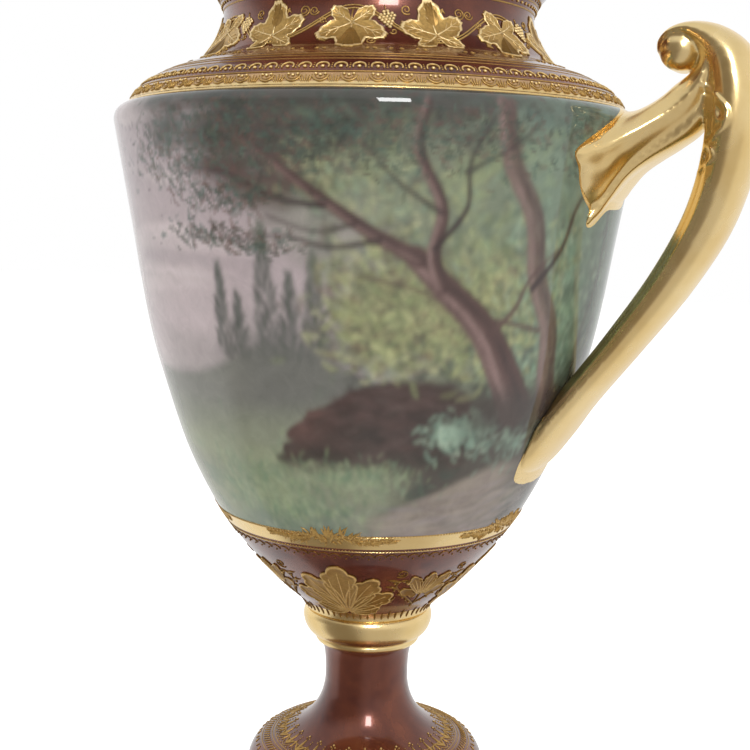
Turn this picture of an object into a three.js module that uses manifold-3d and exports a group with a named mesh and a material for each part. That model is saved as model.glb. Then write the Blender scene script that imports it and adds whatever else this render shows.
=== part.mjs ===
// Mantel urn: a hollow porcelain vase on a waisted pedestal foot, with one applied scroll handle.
// Millimetres, +Z up. The origin is the centre of the foot's flat underside, and the handle is on +X.
import * as THREE from 'three';
import { mergeVertices } from 'three/addons/utils/BufferGeometryUtils.js';
import Module from 'manifold-3d';

const wasm = await Module();
wasm.setup();

// ---- driving dimensions ----

const VASE_FACETS = 60;         // flats round the vase
const FOOT_FACETS = 40;         // flats round the pedestal foot
const JOINT_GAP = 0.3;          // glaze-filled joint between two pieces
const SHORTEST_EDGE = 0.02;     // slivers below this size are merged away

const FOOT_RADIUS = 60.5;       // round foot at its widest
const FOOT_EDGE_HEIGHT = 9;     // height of that widest line
const FOOT_RIM_RADIUS = 52;     // where the rounded edge meets the dished top
const FOOT_RIM_HEIGHT = 18;
const STEM_RADIUS = 20.7;       // narrowest part of the stem
const STEM_HEIGHT = 54;         // height of the narrowest part
const COLLAR_RADIUS = 32.1;     // gilded torus under the bowl
const COLLAR_HEIGHT = 80.5;     // height of the torus's widest line
const PEDESTAL_TOP = 87.4;      // where the collar meets the bowl
const PEDESTAL_TOP_RADIUS = 30.4;

const WALL = 6;                 // wall of the vase
const FLOOR_RADIUS = 22;        // flat middle of the vase's floor inside
const FLOOR = 9;                // thickness of that floor
const LIP_RADIUS = 91;          // outside of the flared lip
const VASE_TOP = 400;
const LIP_ROUND = 3.2;          // half the thickness of the lip's rounded edge
const NECK_RADIUS = 73;         // waist of the neck
const NECK_HEIGHT = 372;
const SHOULDER_EDGE_RADIUS = 123.6;
const SHOULDER_EDGE_HEIGHT = 322;
const SHOULDER_LINE_RADIUS = 117;   // polished fillet at the foot of the shoulder
const SHOULDER_LINE_HEIGHT = 330;
const NECK_FOOT_RADIUS = 84.5;      // where the rounded shoulder meets the hollow of the neck
const NECK_FOOT_HEIGHT = 350;

// Bowl: radius at height, from the collar up to the rounded edge of the shoulder.
const BOWL = [
  [30.8, PEDESTAL_TOP + JOINT_GAP],
  [34.2, 93.4],
  [46.4, 105],
  [69.4, 132],
  [87.4, 165],
  [99.8, 201],
  [107.8, 231],
  [116.1, 279],
  [SHOULDER_EDGE_RADIUS, SHOULDER_EDGE_HEIGHT],
];

// Outline curves, each as four [radius, height] control points, named from the floor upwards.
const FOOT_EDGE = [
  [FOOT_RADIUS - 2.5, 0], [FOOT_RADIUS - 0.3, 2], [FOOT_RADIUS + 1, FOOT_EDGE_HEIGHT + 4],
  [FOOT_RIM_RADIUS, FOOT_RIM_HEIGHT],
];
const FOOT_DISH = [
  [FOOT_RIM_RADIUS, FOOT_RIM_HEIGHT], [40, 23], [STEM_RADIUS + 2, 27], [STEM_RADIUS, STEM_HEIGHT - 4],
];
const STEM = [
  [STEM_RADIUS, STEM_HEIGHT + 2], [STEM_RADIUS + 0.2, 62], [STEM_RADIUS + 0.6, 66], [STEM_RADIUS + 2.4, 69.5],
];
const COLLAR_FILLET = [
  [STEM_RADIUS + 3.6, 70], [STEM_RADIUS + 4.6, 71], [STEM_RADIUS + 5, 72], [STEM_RADIUS + 5.2, 73],
];
const COLLAR = [
  [STEM_RADIUS + 5.6, 73.4], [COLLAR_RADIUS - 0.5, 75.5], [COLLAR_RADIUS + 2, COLLAR_HEIGHT + 4],
  [PEDESTAL_TOP_RADIUS, PEDESTAL_TOP],
];
const SHOULDER_EDGE = [
  [SHOULDER_EDGE_RADIUS, SHOULDER_EDGE_HEIGHT], [SHOULDER_EDGE_RADIUS + 0.6, 327],
  [SHOULDER_LINE_RADIUS + 5, 328.6], [SHOULDER_LINE_RADIUS, SHOULDER_LINE_HEIGHT],
];
const SHOULDER_SLOPE = [
  [SHOULDER_LINE_RADIUS, SHOULDER_LINE_HEIGHT], [SHOULDER_LINE_RADIUS - 4.6, 339],
  [SHOULDER_LINE_RADIUS - 13, 344], [NECK_FOOT_RADIUS, NECK_FOOT_HEIGHT],
];
const NECK_HOLLOW = [
  [NECK_FOOT_RADIUS, NECK_FOOT_HEIGHT], [NECK_RADIUS + 7.5, 354], [NECK_RADIUS + 1.2, 362],
  [NECK_RADIUS, NECK_HEIGHT],
];
const NECK_FLARE = [
  [NECK_RADIUS, NECK_HEIGHT], [NECK_RADIUS, 380.5], [LIP_RADIUS - 7, 388.5],
  [LIP_RADIUS, VASE_TOP - LIP_ROUND * 2],
];
const LIP = [
  [LIP_RADIUS, VASE_TOP - LIP_ROUND * 2], [LIP_RADIUS + 1, VASE_TOP - 2.4], [LIP_RADIUS, VASE_TOP],
  [LIP_RADIUS - LIP_ROUND, VASE_TOP],
];

// Handle limb, from the root up and over the scroll: out from the axis, height, half thickness in
// the handle's own plane, half width across it.
const LIMB = [
  [74.5, 165.5, 7.4, 20],
  [85, 173.5, 7.6, 23],
  [94.5, 185.5, 7.6, 23],
  [106, 201.5, 7.4, 19.5],
  [126.2, 228, 8.1, 17],
  [145.3, 254.8, 9.2, 17],
  [159.4, 280.5, 10.3, 17.5],
  [166.3, 303, 11, 18.5],
  [168.8, 321, 11.6, 19],
  [168, 337, 11.4, 18.5],
  [164.4, 348.6, 9.9, 17],
  [157, 356, 7.1, 15.5],
  [148.5, 359.6, 4, 14],
  [141.6, 358.4, 2.6, 12.5],
  [137.4, 354.5, 1.8, 10],
];
// Fluted arm, from the fan on the shoulder up to the scroll: underside, top edge, half width.
const ARM = [
  [[104, 278], [104, 329.5], 38],
  [[112.5, 278], [112.5, 329.5], 40.5],
  [[117, 281], [117.5, 328.6], 36],
  [[122, 288], [122.5, 327.6], 30],
  [[128.5, 297], [128, 328.4], 24.5],
  [[136.8, 304.4], [135.2, 331.6], 19.8],
  [[145.5, 310.6], [140, 335], 16.4],
  [[154.5, 317.6], [143.8, 338.6], 14.4],
  [[161, 328], [148, 341.5], 13.2],
  [[164, 342], [153, 346.5], 12.6],
];
const SCROLL_EYE = { out: 145.6, height: 352, radius: 8.9, halfWidth: 13.4 };
const LIMB_STEPS = 43;
const ARM_STEPS = 18;

// Half sections of the two bars, as [across thickness, across width] from edge to edge, each in
// shares of the bar's half size there. The other half is their mirror image.
const LIMB_SECTION = [
  [1, 0], [0.92, 0.45], [0.62, 0.84], [0.08, 1], [-0.36, 0.88], [-0.52, 0.68], [-0.78, 0.56], [-1, 0],
];
const ARM_SECTION = [
  [0.94, 0], [1.08, 0.32], [0.94, 0.52], [0.62, 0.62], [0.2, 0.76], [-0.18, 1], [-0.5, 0.92], [-0.88, 0.5],
  [-1, 0],
];

const PORCELAIN = new THREE.MeshStandardMaterial({ name: 'painted_glaze', color: 0x5f6661, roughness: 0.12 });
const GILT = new THREE.MeshStandardMaterial({ name: 'gilding', color: 0xcfa24a, roughness: 0.2, metalness: 1 });
const LUSTRE = new THREE.MeshStandardMaterial({ name: 'burgundy_lustre', color: 0x4a1a24, roughness: 0.12 });

// ---- outlines, as [radius, height] points ----

function bezier(controls, count) {
  const corners = controls.map(([r, z]) => new THREE.Vector2(r, z));
  return new THREE.CubicBezierCurve(...corners).getPoints(count);
}

function pedestalOutline() {
  return [
    new THREE.Vector2(0, 0),
    ...bezier(FOOT_EDGE, 5),
    ...bezier(FOOT_DISH, 6).slice(1),
    ...bezier(STEM, 3),
    ...bezier(COLLAR_FILLET, 1),
    ...bezier(COLLAR, 5),
    new THREE.Vector2(0, PEDESTAL_TOP),
  ];
}

function bowlOutline() {
  return new THREE.SplineCurve(BOWL.map(([r, z]) => new THREE.Vector2(r, z))).getPoints(16);
}

function shoulderOutline() {
  return [...bezier(SHOULDER_EDGE, 3).slice(1), ...bezier(SHOULDER_SLOPE, 5).slice(1)];
}

function neckOutline() {
  return [
    ...bezier(NECK_HOLLOW, 3).slice(1), ...bezier(NECK_FLARE, 4).slice(1), ...bezier(LIP, 3).slice(1),
  ];
}

// The hollow follows the outside one wall thickness in, on every other ring. It leaves out the rings
// of the tight shoulder edge and of the lip.
function hollowOutline(outside) {
  const hollow = [
    new THREE.Vector2(0, PEDESTAL_TOP + FLOOR),
    new THREE.Vector2(FLOOR_RADIUS, PEDESTAL_TOP + FLOOR + 1),
  ];
  for (let i = 4; i < outside.length - 3; i += 2) {
    const { x, y } = outside[i];
    if (y > SHOULDER_EDGE_HEIGHT - WALL && y < SHOULDER_LINE_HEIGHT + 2) continue;
    const along = outside[i + 1].clone().sub(outside[i - 1]).normalize();
    hollow.push(new THREE.Vector2(x - along.y * WALL, y + along.x * WALL));
  }
  hollow.push(new THREE.Vector2(LIP_RADIUS - 2 * LIP_ROUND, VASE_TOP - LIP_ROUND / 2));
  return hollow;
}

// ---- solids ----

function lathe(points, facets) {
  return new THREE.LatheGeometry(points, facets).rotateX(Math.PI / 2);
}

function solid(source) {
  const bare = source.clone();
  bare.deleteAttribute('normal');
  bare.deleteAttribute('uv');
  const merged = mergeVertices(bare, 1e-3);
  const index = [];
  for (let i = 0; i < merged.index.count; i += 3) {
    const [a, b, c] = [0, 1, 2].map((corner) => merged.index.getX(i + corner));
    if (a !== b && b !== c && c !== a) index.push(a, b, c);
  }
  return new wasm.Manifold(new wasm.Mesh({
    numProp: 3,
    vertProperties: Float32Array.from(merged.attributes.position.array),
    triVerts: Uint32Array.from(index),
  }));
}

function geometryOf(manifold) {
  const mesh = manifold.getMesh();
  const geometry = new THREE.BufferGeometry();
  geometry.setAttribute('position', new THREE.BufferAttribute(mesh.vertProperties, 3));
  geometry.setIndex(new THREE.BufferAttribute(mesh.triVerts, 1));
  geometry.computeVertexNormals();
  return geometry;
}

function curveThrough(points) {
  return new THREE.CatmullRomCurve3(points.map(([x, z]) => new THREE.Vector3(x, 0, z)));
}

function mirroredSection(half) {
  const mirror = half.slice(1, -1).reverse().map(([v, w]) => [v, -w]);
  return new THREE.Shape([...half, ...mirror].map(([v, w]) => new THREE.Vector2(v, w)));
}

// A bar between two edge curves in the XZ plane, with a section that stretches to reach both.
function barBetween(section, outer, inner, widths, steps) {
  const bar = new THREE.ExtrudeGeometry(section, { depth: 1, steps, bevelEnabled: false });
  const outerEdge = curveThrough(outer);
  const innerEdge = curveThrough(inner);
  const halfWidth = curveThrough(widths.map((width) => [width, 0]));
  const position = bar.attributes.position;
  for (let i = 0; i < position.count; i++) {
    const along = THREE.MathUtils.clamp(position.getZ(i), 0, 1);
    const share = (1 + position.getX(i)) / 2;
    const point = innerEdge.getPoint(along).lerp(outerEdge.getPoint(along), share);
    point.y = position.getY(i) * halfWidth.getPoint(along).x;
    position.setXYZ(i, point.x, point.y, point.z);
  }
  return solid(bar);
}

function limbBar() {
  const centre = curveThrough(LIMB);
  const edge = (side) => LIMB.map(([x, z, thickness], i) => {
    const along = centre.getTangent(i / (LIMB.length - 1));
    return [x + side * thickness * along.z, z - side * thickness * along.x];
  });
  const widths = LIMB.map((station) => station[3]);
  return barBetween(mirroredSection(LIMB_SECTION), edge(1), edge(-1), widths, LIMB_STEPS);
}

function armBar() {
  const [underside, top, widths] = [0, 1, 2].map((column) => ARM.map((station) => station[column]));
  return barBetween(mirroredSection(ARM_SECTION), underside, top, widths, ARM_STEPS);
}

function scrollEye() {
  const eye = new THREE.SphereGeometry(1, 14, 8);
  eye.scale(SCROLL_EYE.radius, SCROLL_EYE.halfWidth, SCROLL_EYE.radius);
  eye.translate(SCROLL_EYE.out, 0, SCROLL_EYE.height);
  return solid(eye);
}

function handleSolid(vaseOutline) {
  const grown = vaseOutline.map(({ x, y }) => new THREE.Vector2(x + JOINT_GAP, y));
  const core = solid(lathe([
    new THREE.Vector2(0, grown[0].y), ...grown, new THREE.Vector2(0, grown[grown.length - 1].y),
  ], VASE_FACETS));
  const scroll = limbBar().add(armBar()).add(scrollEye());
  return scroll.subtract(core).simplify(SHORTEST_EDGE);
}

// ---- assembly ----

const outside = [...bowlOutline(), ...shoulderOutline(), ...neckOutline()];
const vaseOutline = [
  new THREE.Vector2(0, PEDESTAL_TOP + JOINT_GAP), ...outside, ...hollowOutline(outside).reverse(),
];

const urn = new THREE.Group();

function addPiece(name, manifold, material) {
  const piece = new THREE.Mesh(geometryOf(manifold), material);
  piece.name = name;
  urn.add(piece);
}

addPiece('vase_body', solid(lathe(vaseOutline, VASE_FACETS)), PORCELAIN);
addPiece('handle', handleSolid(outside), GILT);
addPiece('pedestal_foot', solid(lathe(pedestalOutline(), FOOT_FACETS)), LUSTRE);

export default urn;
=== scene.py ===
"""Looks of the mantel urn: painted porcelain vase, gilt scroll handle and burgundy lustre foot.

Lengths are millimetres here and become metres where a mesh is made. Azimuth is in degrees round the
urn's axis, counter-clockwise from +X, which is where the handle is. A shape is its vertices and its
faces, as index lists.
"""
import math

import bpy
import numpy as np
from mathutils import Matrix, Vector


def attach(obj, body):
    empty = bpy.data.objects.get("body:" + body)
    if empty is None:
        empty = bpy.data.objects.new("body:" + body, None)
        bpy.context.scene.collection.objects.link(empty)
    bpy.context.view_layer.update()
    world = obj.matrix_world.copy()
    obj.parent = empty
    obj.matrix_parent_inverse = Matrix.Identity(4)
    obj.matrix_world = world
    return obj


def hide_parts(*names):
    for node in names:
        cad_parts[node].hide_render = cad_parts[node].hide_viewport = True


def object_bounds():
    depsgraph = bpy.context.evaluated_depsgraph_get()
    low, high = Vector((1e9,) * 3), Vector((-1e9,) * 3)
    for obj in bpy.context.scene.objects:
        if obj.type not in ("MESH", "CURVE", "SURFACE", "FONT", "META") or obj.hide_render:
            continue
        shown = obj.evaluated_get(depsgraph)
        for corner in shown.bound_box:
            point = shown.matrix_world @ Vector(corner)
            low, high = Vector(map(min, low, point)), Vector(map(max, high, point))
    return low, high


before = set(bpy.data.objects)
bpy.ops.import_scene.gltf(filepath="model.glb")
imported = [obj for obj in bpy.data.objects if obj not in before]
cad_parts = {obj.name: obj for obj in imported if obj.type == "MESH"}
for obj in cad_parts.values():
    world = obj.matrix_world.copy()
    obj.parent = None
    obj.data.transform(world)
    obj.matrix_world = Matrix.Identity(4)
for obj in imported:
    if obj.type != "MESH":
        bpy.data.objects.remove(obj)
CAD_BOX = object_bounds()

MM = 0.001
CAMERA_AZIMUTH = 28.0          # how far the camera stands round from -Y towards the handle
FRONT = CAMERA_AZIMUTH - 90    # azimuth that faces the camera

# ---- driving dimensions, the same as the solids' ----

FOOT_RIM_RADIUS = 52.0
FOOT_RIM_HEIGHT = 18.0
STEM_RADIUS = 20.7
STEM_HEIGHT = 54.0
STEM_TOP = 69.5
COLLAR_FOOT = 69.8
PEDESTAL_TOP = 87.4
PEDESTAL_TOP_RADIUS = 30.4
WALL = 6.0
FLOOR_RADIUS = 22.0
FLOOR = 9.0
LIP_RADIUS = 91.0
VASE_TOP = 400.0
LIP_ROUND = 3.2
NECK_RADIUS = 73.0
NECK_HEIGHT = 372.0
SHOULDER_EDGE = (123.55, 322.0)
SHOULDER_LINE = (117.0, 330.0)
NECK_FOOT = (84.5, 350.0)
JOINT_GAP = 0.3
BOWL = [
    (30.8, PEDESTAL_TOP + JOINT_GAP), (34.2, 93.4), (46.4, 105), (69.4, 132), (87.4, 165),
    (99.8, 201), (107.8, 231), (116.1, 279), SHOULDER_EDGE,
]

# Heights where the finish of the vase changes.
COLLAR_GILT_TOP = 93.2
BAND_LOW, BAND_HIGH = 132.6, 141.0       # polished band between bowl and landscape
FILLET_LOW, FILLET_HIGH = 329.4, 331.0   # polished fillet between landscape and shoulder
BRONZE_TOP = 336.2
LIP_GILT_LOW = 393.0
LOW_PAINT, HIGH_PAINT = 139.5, 329.6     # rows of the mesh that carry the painting

# Handle limb: out from the axis, height, half thickness, half width.
LIMB = [
    (74.5, 165.5, 7.4, 20), (85, 173.5, 7.6, 23), (94.5, 185.5, 7.6, 23), (106, 201.5, 7.4, 19.5),
    (126.2, 228, 8.1, 17), (145.3, 254.8, 9.2, 17), (159.4, 280.5, 10.3, 17.5), (166.3, 303, 11, 18.5),
    (168.8, 321, 11.6, 19), (168, 337, 11.4, 18.5), (164.4, 348.6, 9.9, 17), (157, 356, 7.1, 15.5),
    (148.5, 359.6, 4.0, 14), (141.6, 358.4, 2.6, 12.5), (137.4, 354.5, 1.8, 10), (136.6, 351, 1.2, 7),
]
# Arm: underside, top edge, half width, and how far its section has opened into the fan.
ARM = [
    ((104, 278), (104, 329.5), 38, 1), ((112.5, 278), (112.5, 329.5), 40.5, 1),
    ((117, 281), (117.5, 328.6), 36, 0.92), ((122, 288), (122.5, 327.6), 30, 0.72),
    ((128.5, 297), (128, 328.4), 24.5, 0.45), ((136.8, 304.4), (135.2, 331.6), 19.8, 0.2),
    ((145.5, 310.6), (140, 335), 16.4, 0.05), ((154.5, 317.6), (143.8, 338.6), 14.4, 0),
    ((161, 328), (148, 341.5), 13.2, 0), ((164, 342), (153, 346.5), 12.6, 0),
    ((161, 354), (154, 352.5), 11, 0),
]
EYE_OUT, EYE_HEIGHT, EYE_RADIUS, EYE_HALF_WIDTH = 145.6, 352.0, 8.9, 13.4


# ---- curves ----

def ease(low, high, x):
    """Rises smoothly from 0 at low to 1 at high."""
    t = np.clip((x - low) / (high - low), 0, 1)
    return t * t * (3 - 2 * t)


def bezier(a, b, c, d, steps):
    t = np.linspace(0, 1, steps + 1)[:, None]
    a, b, c, d = (np.array(p, float) for p in (a, b, c, d))
    return (1 - t) ** 3 * a + 3 * (1 - t) ** 2 * t * b + 3 * (1 - t) * t * t * c + t ** 3 * d


def hermite(p1, p2, m1, m2, u):
    u2, u3 = u * u, u * u * u
    return (2 * u3 - 3 * u2 + 1) * p1 + (u3 - 2 * u2 + u) * m1 + (3 * u2 - 2 * u3) * p2 + (u3 - u2) * m2


def stretch(points, t):
    """Which stretch between points t falls on, for t from 0 to 1, and the share of that stretch."""
    last = len(points) - 1
    place = np.clip(np.asarray(t, float), 0, 1) * last
    i = np.minimum(place.astype(int), last - 1)
    return i, (place - i)[:, None]


def spline(points, t):
    """Uniform Catmull-Rom curve through the points, at t from 0 to 1."""
    points = np.array(points, float)
    i, share = stretch(points, t)
    before, after = np.maximum(i - 1, 0), np.minimum(i + 2, len(points) - 1)
    m1 = (points[i + 1] - points[before]) / 2
    m2 = (points[after] - points[i]) / 2
    return hermite(points[i], points[i + 1], m1, m2, share)


def through(points, t):
    """Centripetal Catmull-Rom curve through the points, at t from 0 to 1."""
    points = np.array(points, float)
    padded = np.vstack([2 * points[0] - points[1], points, 2 * points[-1] - points[-2]])
    i, share = stretch(points, t)
    p0, p1, p2, p3 = (padded[i + k] for k in range(4))
    d1, d2, d3 = (np.sqrt(np.linalg.norm(q - p, axis=1))[:, None] + 1e-9
                  for p, q in ((p0, p1), (p1, p2), (p2, p3)))
    m1 = ((p1 - p0) / d1 - (p2 - p0) / (d1 + d2) + (p2 - p1) / d2) * d2
    m2 = ((p2 - p1) / d2 - (p3 - p1) / (d2 + d3) + (p3 - p2) / d3) * d2
    return hermite(p1, p2, m1, m2, share)


# ---- outlines, as radius and height ----

class Outline:
    """A profile that rises from its first point to its last, measured by the run along it."""

    def __init__(self, points):
        self.points = np.array(points, float)
        steps = np.linalg.norm(np.diff(self.points, axis=0), axis=1)
        self.runs = np.concatenate([[0], np.cumsum(steps)])
        self.length = self.runs[-1]
        tangent = np.gradient(self.points, self.runs, axis=0)
        tangent /= np.linalg.norm(tangent, axis=1)[:, None]
        self.normals = np.stack([tangent[:, 1], -tangent[:, 0]], 1)

    def at(self, run):
        return tuple(np.interp(run, self.runs, self.points[:, k]) for k in (0, 1))

    def normal(self, run):
        return tuple(np.interp(run, self.runs, self.normals[:, k]) for k in (0, 1))

    def run_at(self, height):
        return float(np.interp(height, self.points[:, 1], self.runs))

    def radius_at(self, height):
        """Radius by height, below the hollow of the neck."""
        rising = self.points[self.points[:, 1] <= NECK_FOOT[1]]
        return np.interp(height, rising[:, 1], rising[:, 0])


def vase_points():
    """The outside, from the collar up the bowl, over the shoulder and the neck, to the lip."""
    lip_foot = (LIP_RADIUS, VASE_TOP - 2 * LIP_ROUND)
    return np.vstack([
        spline(BOWL, np.linspace(0, 1, 261)),
        bezier(SHOULDER_EDGE, (123.7, 326.5), (121.5, 328.8), SHOULDER_LINE, 14)[1:],
        bezier(SHOULDER_LINE, (112.4, 339), (104, 344), NECK_FOOT, 40)[1:],
        bezier(NECK_FOOT, (80.5, 354), (74.2, 362), (NECK_RADIUS, NECK_HEIGHT), 28)[1:],
        bezier((NECK_RADIUS, NECK_HEIGHT), (NECK_RADIUS, 380.5), (84, 388.5), lip_foot, 28)[1:],
        bezier(lip_foot, (92, 397.6), (91, VASE_TOP), (LIP_RADIUS - LIP_ROUND, VASE_TOP), 10)[1:],
    ])


def foot_points():
    """The round foot's edge, its dished top and the stem."""
    rim = (FOOT_RIM_RADIUS, FOOT_RIM_HEIGHT)
    return np.vstack([
        bezier((58, 0), (60.2, 2), (61.5, 13), rim, 24),
        bezier(rim, (40, 23), (22.7, 27), (STEM_RADIUS, STEM_HEIGHT - 4), 60)[1:],
        bezier((STEM_RADIUS, STEM_HEIGHT + 2), (20.9, 62), (21.3, 66), (23.1, STEM_TOP), 16),
    ])


def collar_points():
    fillet = bezier((24.1, COLLAR_FOOT), (25.8, 69.9), (26.6, 72.7), (25.7, 73.0), 8)
    torus = bezier((25.9, 73.3), (31.6, 75.2), (34.1, 84.8), (PEDESTAL_TOP_RADIUS, PEDESTAL_TOP), 24)
    return np.vstack([fillet, torus])


OUTSIDE = Outline(vase_points())
FOOT = Outline(foot_points())


# ---- meshes ----

def make_object(name, vertices, faces):
    """A smooth mesh object from a shape in millimetres."""
    mesh = bpy.data.meshes.new(name)
    mesh.from_pydata((np.asarray(vertices, float) * MM).tolist(), [], [list(map(int, f)) for f in faces])
    mesh.validate()
    shade_smooth(mesh)
    return place_in_scene(name, mesh)


def shade_smooth(mesh):
    mesh.polygons.foreach_set("use_smooth", [True] * len(mesh.polygons))
    mesh.update()


def place_in_scene(name, data):
    made = bpy.data.objects.new(name, data)
    bpy.context.scene.collection.objects.link(made)
    return made


def finish_piece(piece, materials):
    for material in materials:
        piece.data.materials.append(material)
    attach(piece, "root")
    return piece


def joined(*shapes):
    vertices, faces, start = [], [], 0
    for points, polygons in shapes:
        vertices.append(points)
        faces.extend([[index + start for index in f] for f in polygons])
        start += len(points)
    return np.vstack(vertices), faces


def grid_faces(rows, columns):
    """Quads between rows of vertices, each a closed ring of columns."""
    i, j = np.meshgrid(np.arange(rows - 1), np.arange(columns), indexing="ij")
    i, j = i.ravel(), j.ravel()
    k = (j + 1) % columns
    return np.stack([i * columns + j, i * columns + k, (i + 1) * columns + k, (i + 1) * columns + j], 1)


def capped_faces(rows, columns):
    """Faces of rings of vertices, closed by a fan to one more vertex below and one above."""
    below, last_row = rows * columns, (rows - 1) * columns
    faces = grid_faces(rows, columns).tolist()
    for j in range(columns):
        k = (j + 1) % columns
        faces.append([below, k, j])
        faces.append([below + 1, last_row + j, last_row + k])
    return faces


def revolve(profile, azimuths):
    """A closed turned body. The profile starts and ends on the axis."""
    inner = np.asarray(profile, float)[1:-1]
    angle = np.radians(azimuths)
    count = len(angle)
    body = np.empty((len(inner), count, 3))
    body[:, :, :2] = inner[:, 0][:, None, None] * np.stack([np.cos(angle), np.sin(angle)], 1)[None]
    body[:, :, 2] = inner[:, 1][:, None]
    ends = [[0, 0, profile[0][1]], [0, 0, profile[-1][1]]]
    return np.vstack([body.reshape(-1, 3), ends]), capped_faces(len(inner), count)


# ---- materials ----

def add_node(tree, kind, inputs=(), **settings):
    """A node whose inputs, by name or number, take plain values or the outputs of other nodes."""
    node = tree.nodes.new(kind)
    for key, value in settings.items():
        setattr(node, key, value)
    for key, value in dict(inputs).items():
        if isinstance(value, bpy.types.NodeSocket):
            tree.links.new(value, node.inputs[key])
        else:
            node.inputs[key].default_value = value
    return node


def new_material(name):
    material = bpy.data.materials.new(name)
    material.use_nodes = True
    material.node_tree.nodes.clear()
    return material, material.node_tree


def set_surface(tree, shader):
    add_node(tree, "ShaderNodeOutputMaterial", {"Surface": shader})


def principled(tree, inputs):
    return add_node(tree, "ShaderNodeBsdfPrincipled", inputs).outputs["BSDF"]


def noise(tree, scale, detail=3.0, roughness=0.55, distortion=0.0):
    inputs = {"Scale": scale, "Detail": detail, "Roughness": roughness, "Distortion": distortion}
    inputs["Vector"] = add_node(tree, "ShaderNodeTexCoord").outputs["Object"]
    return add_node(tree, "ShaderNodeTexNoise", inputs).outputs["Fac"]


def ramp(tree, source, stops):
    """Colours by a value. Each stop is its place from 0 to 1 and its colour."""
    made = add_node(tree, "ShaderNodeValToRGB", {"Fac": source})
    elements = made.color_ramp.elements
    while len(elements) < len(stops):
        elements.new(0.5)
    for element, (place, colour) in zip(elements, stops):
        element.position = place
        element.color = (*colour, 1)
    return made.outputs["Color"]


def mix(tree, blend, factor, a, b):
    inputs = {"Factor": factor, "A": a, "B": b}
    return add_node(tree, "ShaderNodeMix", inputs, data_type="RGBA", blend_type=blend).outputs["Result"]


def map_range(tree, source, start, end, low=0.0, high=1.0):
    return add_node(tree, "ShaderNodeMapRange", {
        "Value": source, "From Min": start, "From Max": end, "To Min": low, "To Max": high,
    }).outputs["Result"]


def bump(tree, height, strength, distance):
    inputs = {"Height": height, "Strength": strength, "Distance": distance}
    return add_node(tree, "ShaderNodeBump", inputs).outputs["Normal"]


def burnished_gold():
    """Burnished gilding, with patches where it is thinner and fine hand polishing."""
    material, tree = new_material("burnished_gold")
    golds = [(0.32, (0.88, 0.64, 0.28)), (0.62, (0.96, 0.75, 0.39))]
    set_surface(tree, principled(tree, {
        "Base Color": ramp(tree, noise(tree, 35, 4), golds),
        "Metallic": 1.0,
        "Roughness": map_range(tree, noise(tree, 70, 3), 0.3, 0.7, 0.204, 0.3),
        "Normal": bump(tree, noise(tree, 700, 3), 0.05, 0.0002),
    }))
    return material


def relief_gold(name, flat, edge, line):
    """Matte gilding of the ornament: ochre in the flat of a leaf, paler on its raised lines."""
    material, tree = new_material(name)
    raised = add_node(tree, "ShaderNodeAttribute", attribute_name="raised").outputs["Fac"]
    tone = ramp(tree, raised, [(0.25, flat), (0.46, edge), (0.62, line)])
    grain = ramp(tree, noise(tree, 900, 3), [(0.35, (0.62, 0.60, 0.56)), (0.6, (1, 1, 1))])
    set_surface(tree, principled(tree, {
        "Base Color": mix(tree, "MULTIPLY", 0.6, tone, grain),
        "Metallic": 0.7,
        "Roughness": 0.38,
        "Normal": bump(tree, noise(tree, 1500, 2), 0.3, 0.0002),
    }))
    return material


def lustre(name, dark, light, scale):
    """Metallic lustre under a clear glaze, cloudy where it was laid on thin."""
    material, tree = new_material(name)
    set_surface(tree, principled(tree, {
        "Base Color": ramp(tree, noise(tree, scale, 5, 0.6, 0.6), [(0.32, dark), (0.7, light)]),
        "Metallic": 0.55,
        "Roughness": 0.25,
        "Coat Weight": 0.62,
        "Coat Roughness": 0.04,
        "Coat IOR": 1.5,
        "Normal": bump(tree, noise(tree, 260, 2), 0.05, 0.0004),
    }))
    return material


def white_porcelain():
    material, tree = new_material("white_porcelain")
    whites = [(0.3, (0.80, 0.78, 0.73)), (0.7, (0.86, 0.85, 0.81))]
    set_surface(tree, principled(tree, {
        "Base Color": ramp(tree, noise(tree, 40, 3), whites),
        "Roughness": 0.22,
        "Coat Weight": 1.0,
        "Coat Roughness": 0.05,
    }))
    return material


def painted_landscape():
    """The landscape: colours are painted on the mesh, with brush grain and glaze over them."""
    material, tree = new_material("painted_landscape")
    paint = add_node(tree, "ShaderNodeVertexColor", layer_name="paint").outputs["Color"]
    grain = ramp(tree, noise(tree, 120, 5, 0.65, 0.8), [(0.3, (0.36,) * 3), (0.7, (0.64,) * 3)])
    set_surface(tree, principled(tree, {
        "Base Color": mix(tree, "OVERLAY", 0.3, paint, grain),
        "Roughness": 0.5,
        "Specular IOR Level": 0.0,
        "Coat Weight": 1.0,
        "Coat Roughness": 0.03,
        "Coat IOR": 1.5,
        "Normal": bump(tree, noise(tree, 150, 2), 0.04, 0.0004),
    }))
    return material


# ---- relief on turned surfaces ----

SUNK = 0.15            # how far ornament goes into the glaze, so that no edge stands free


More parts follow.
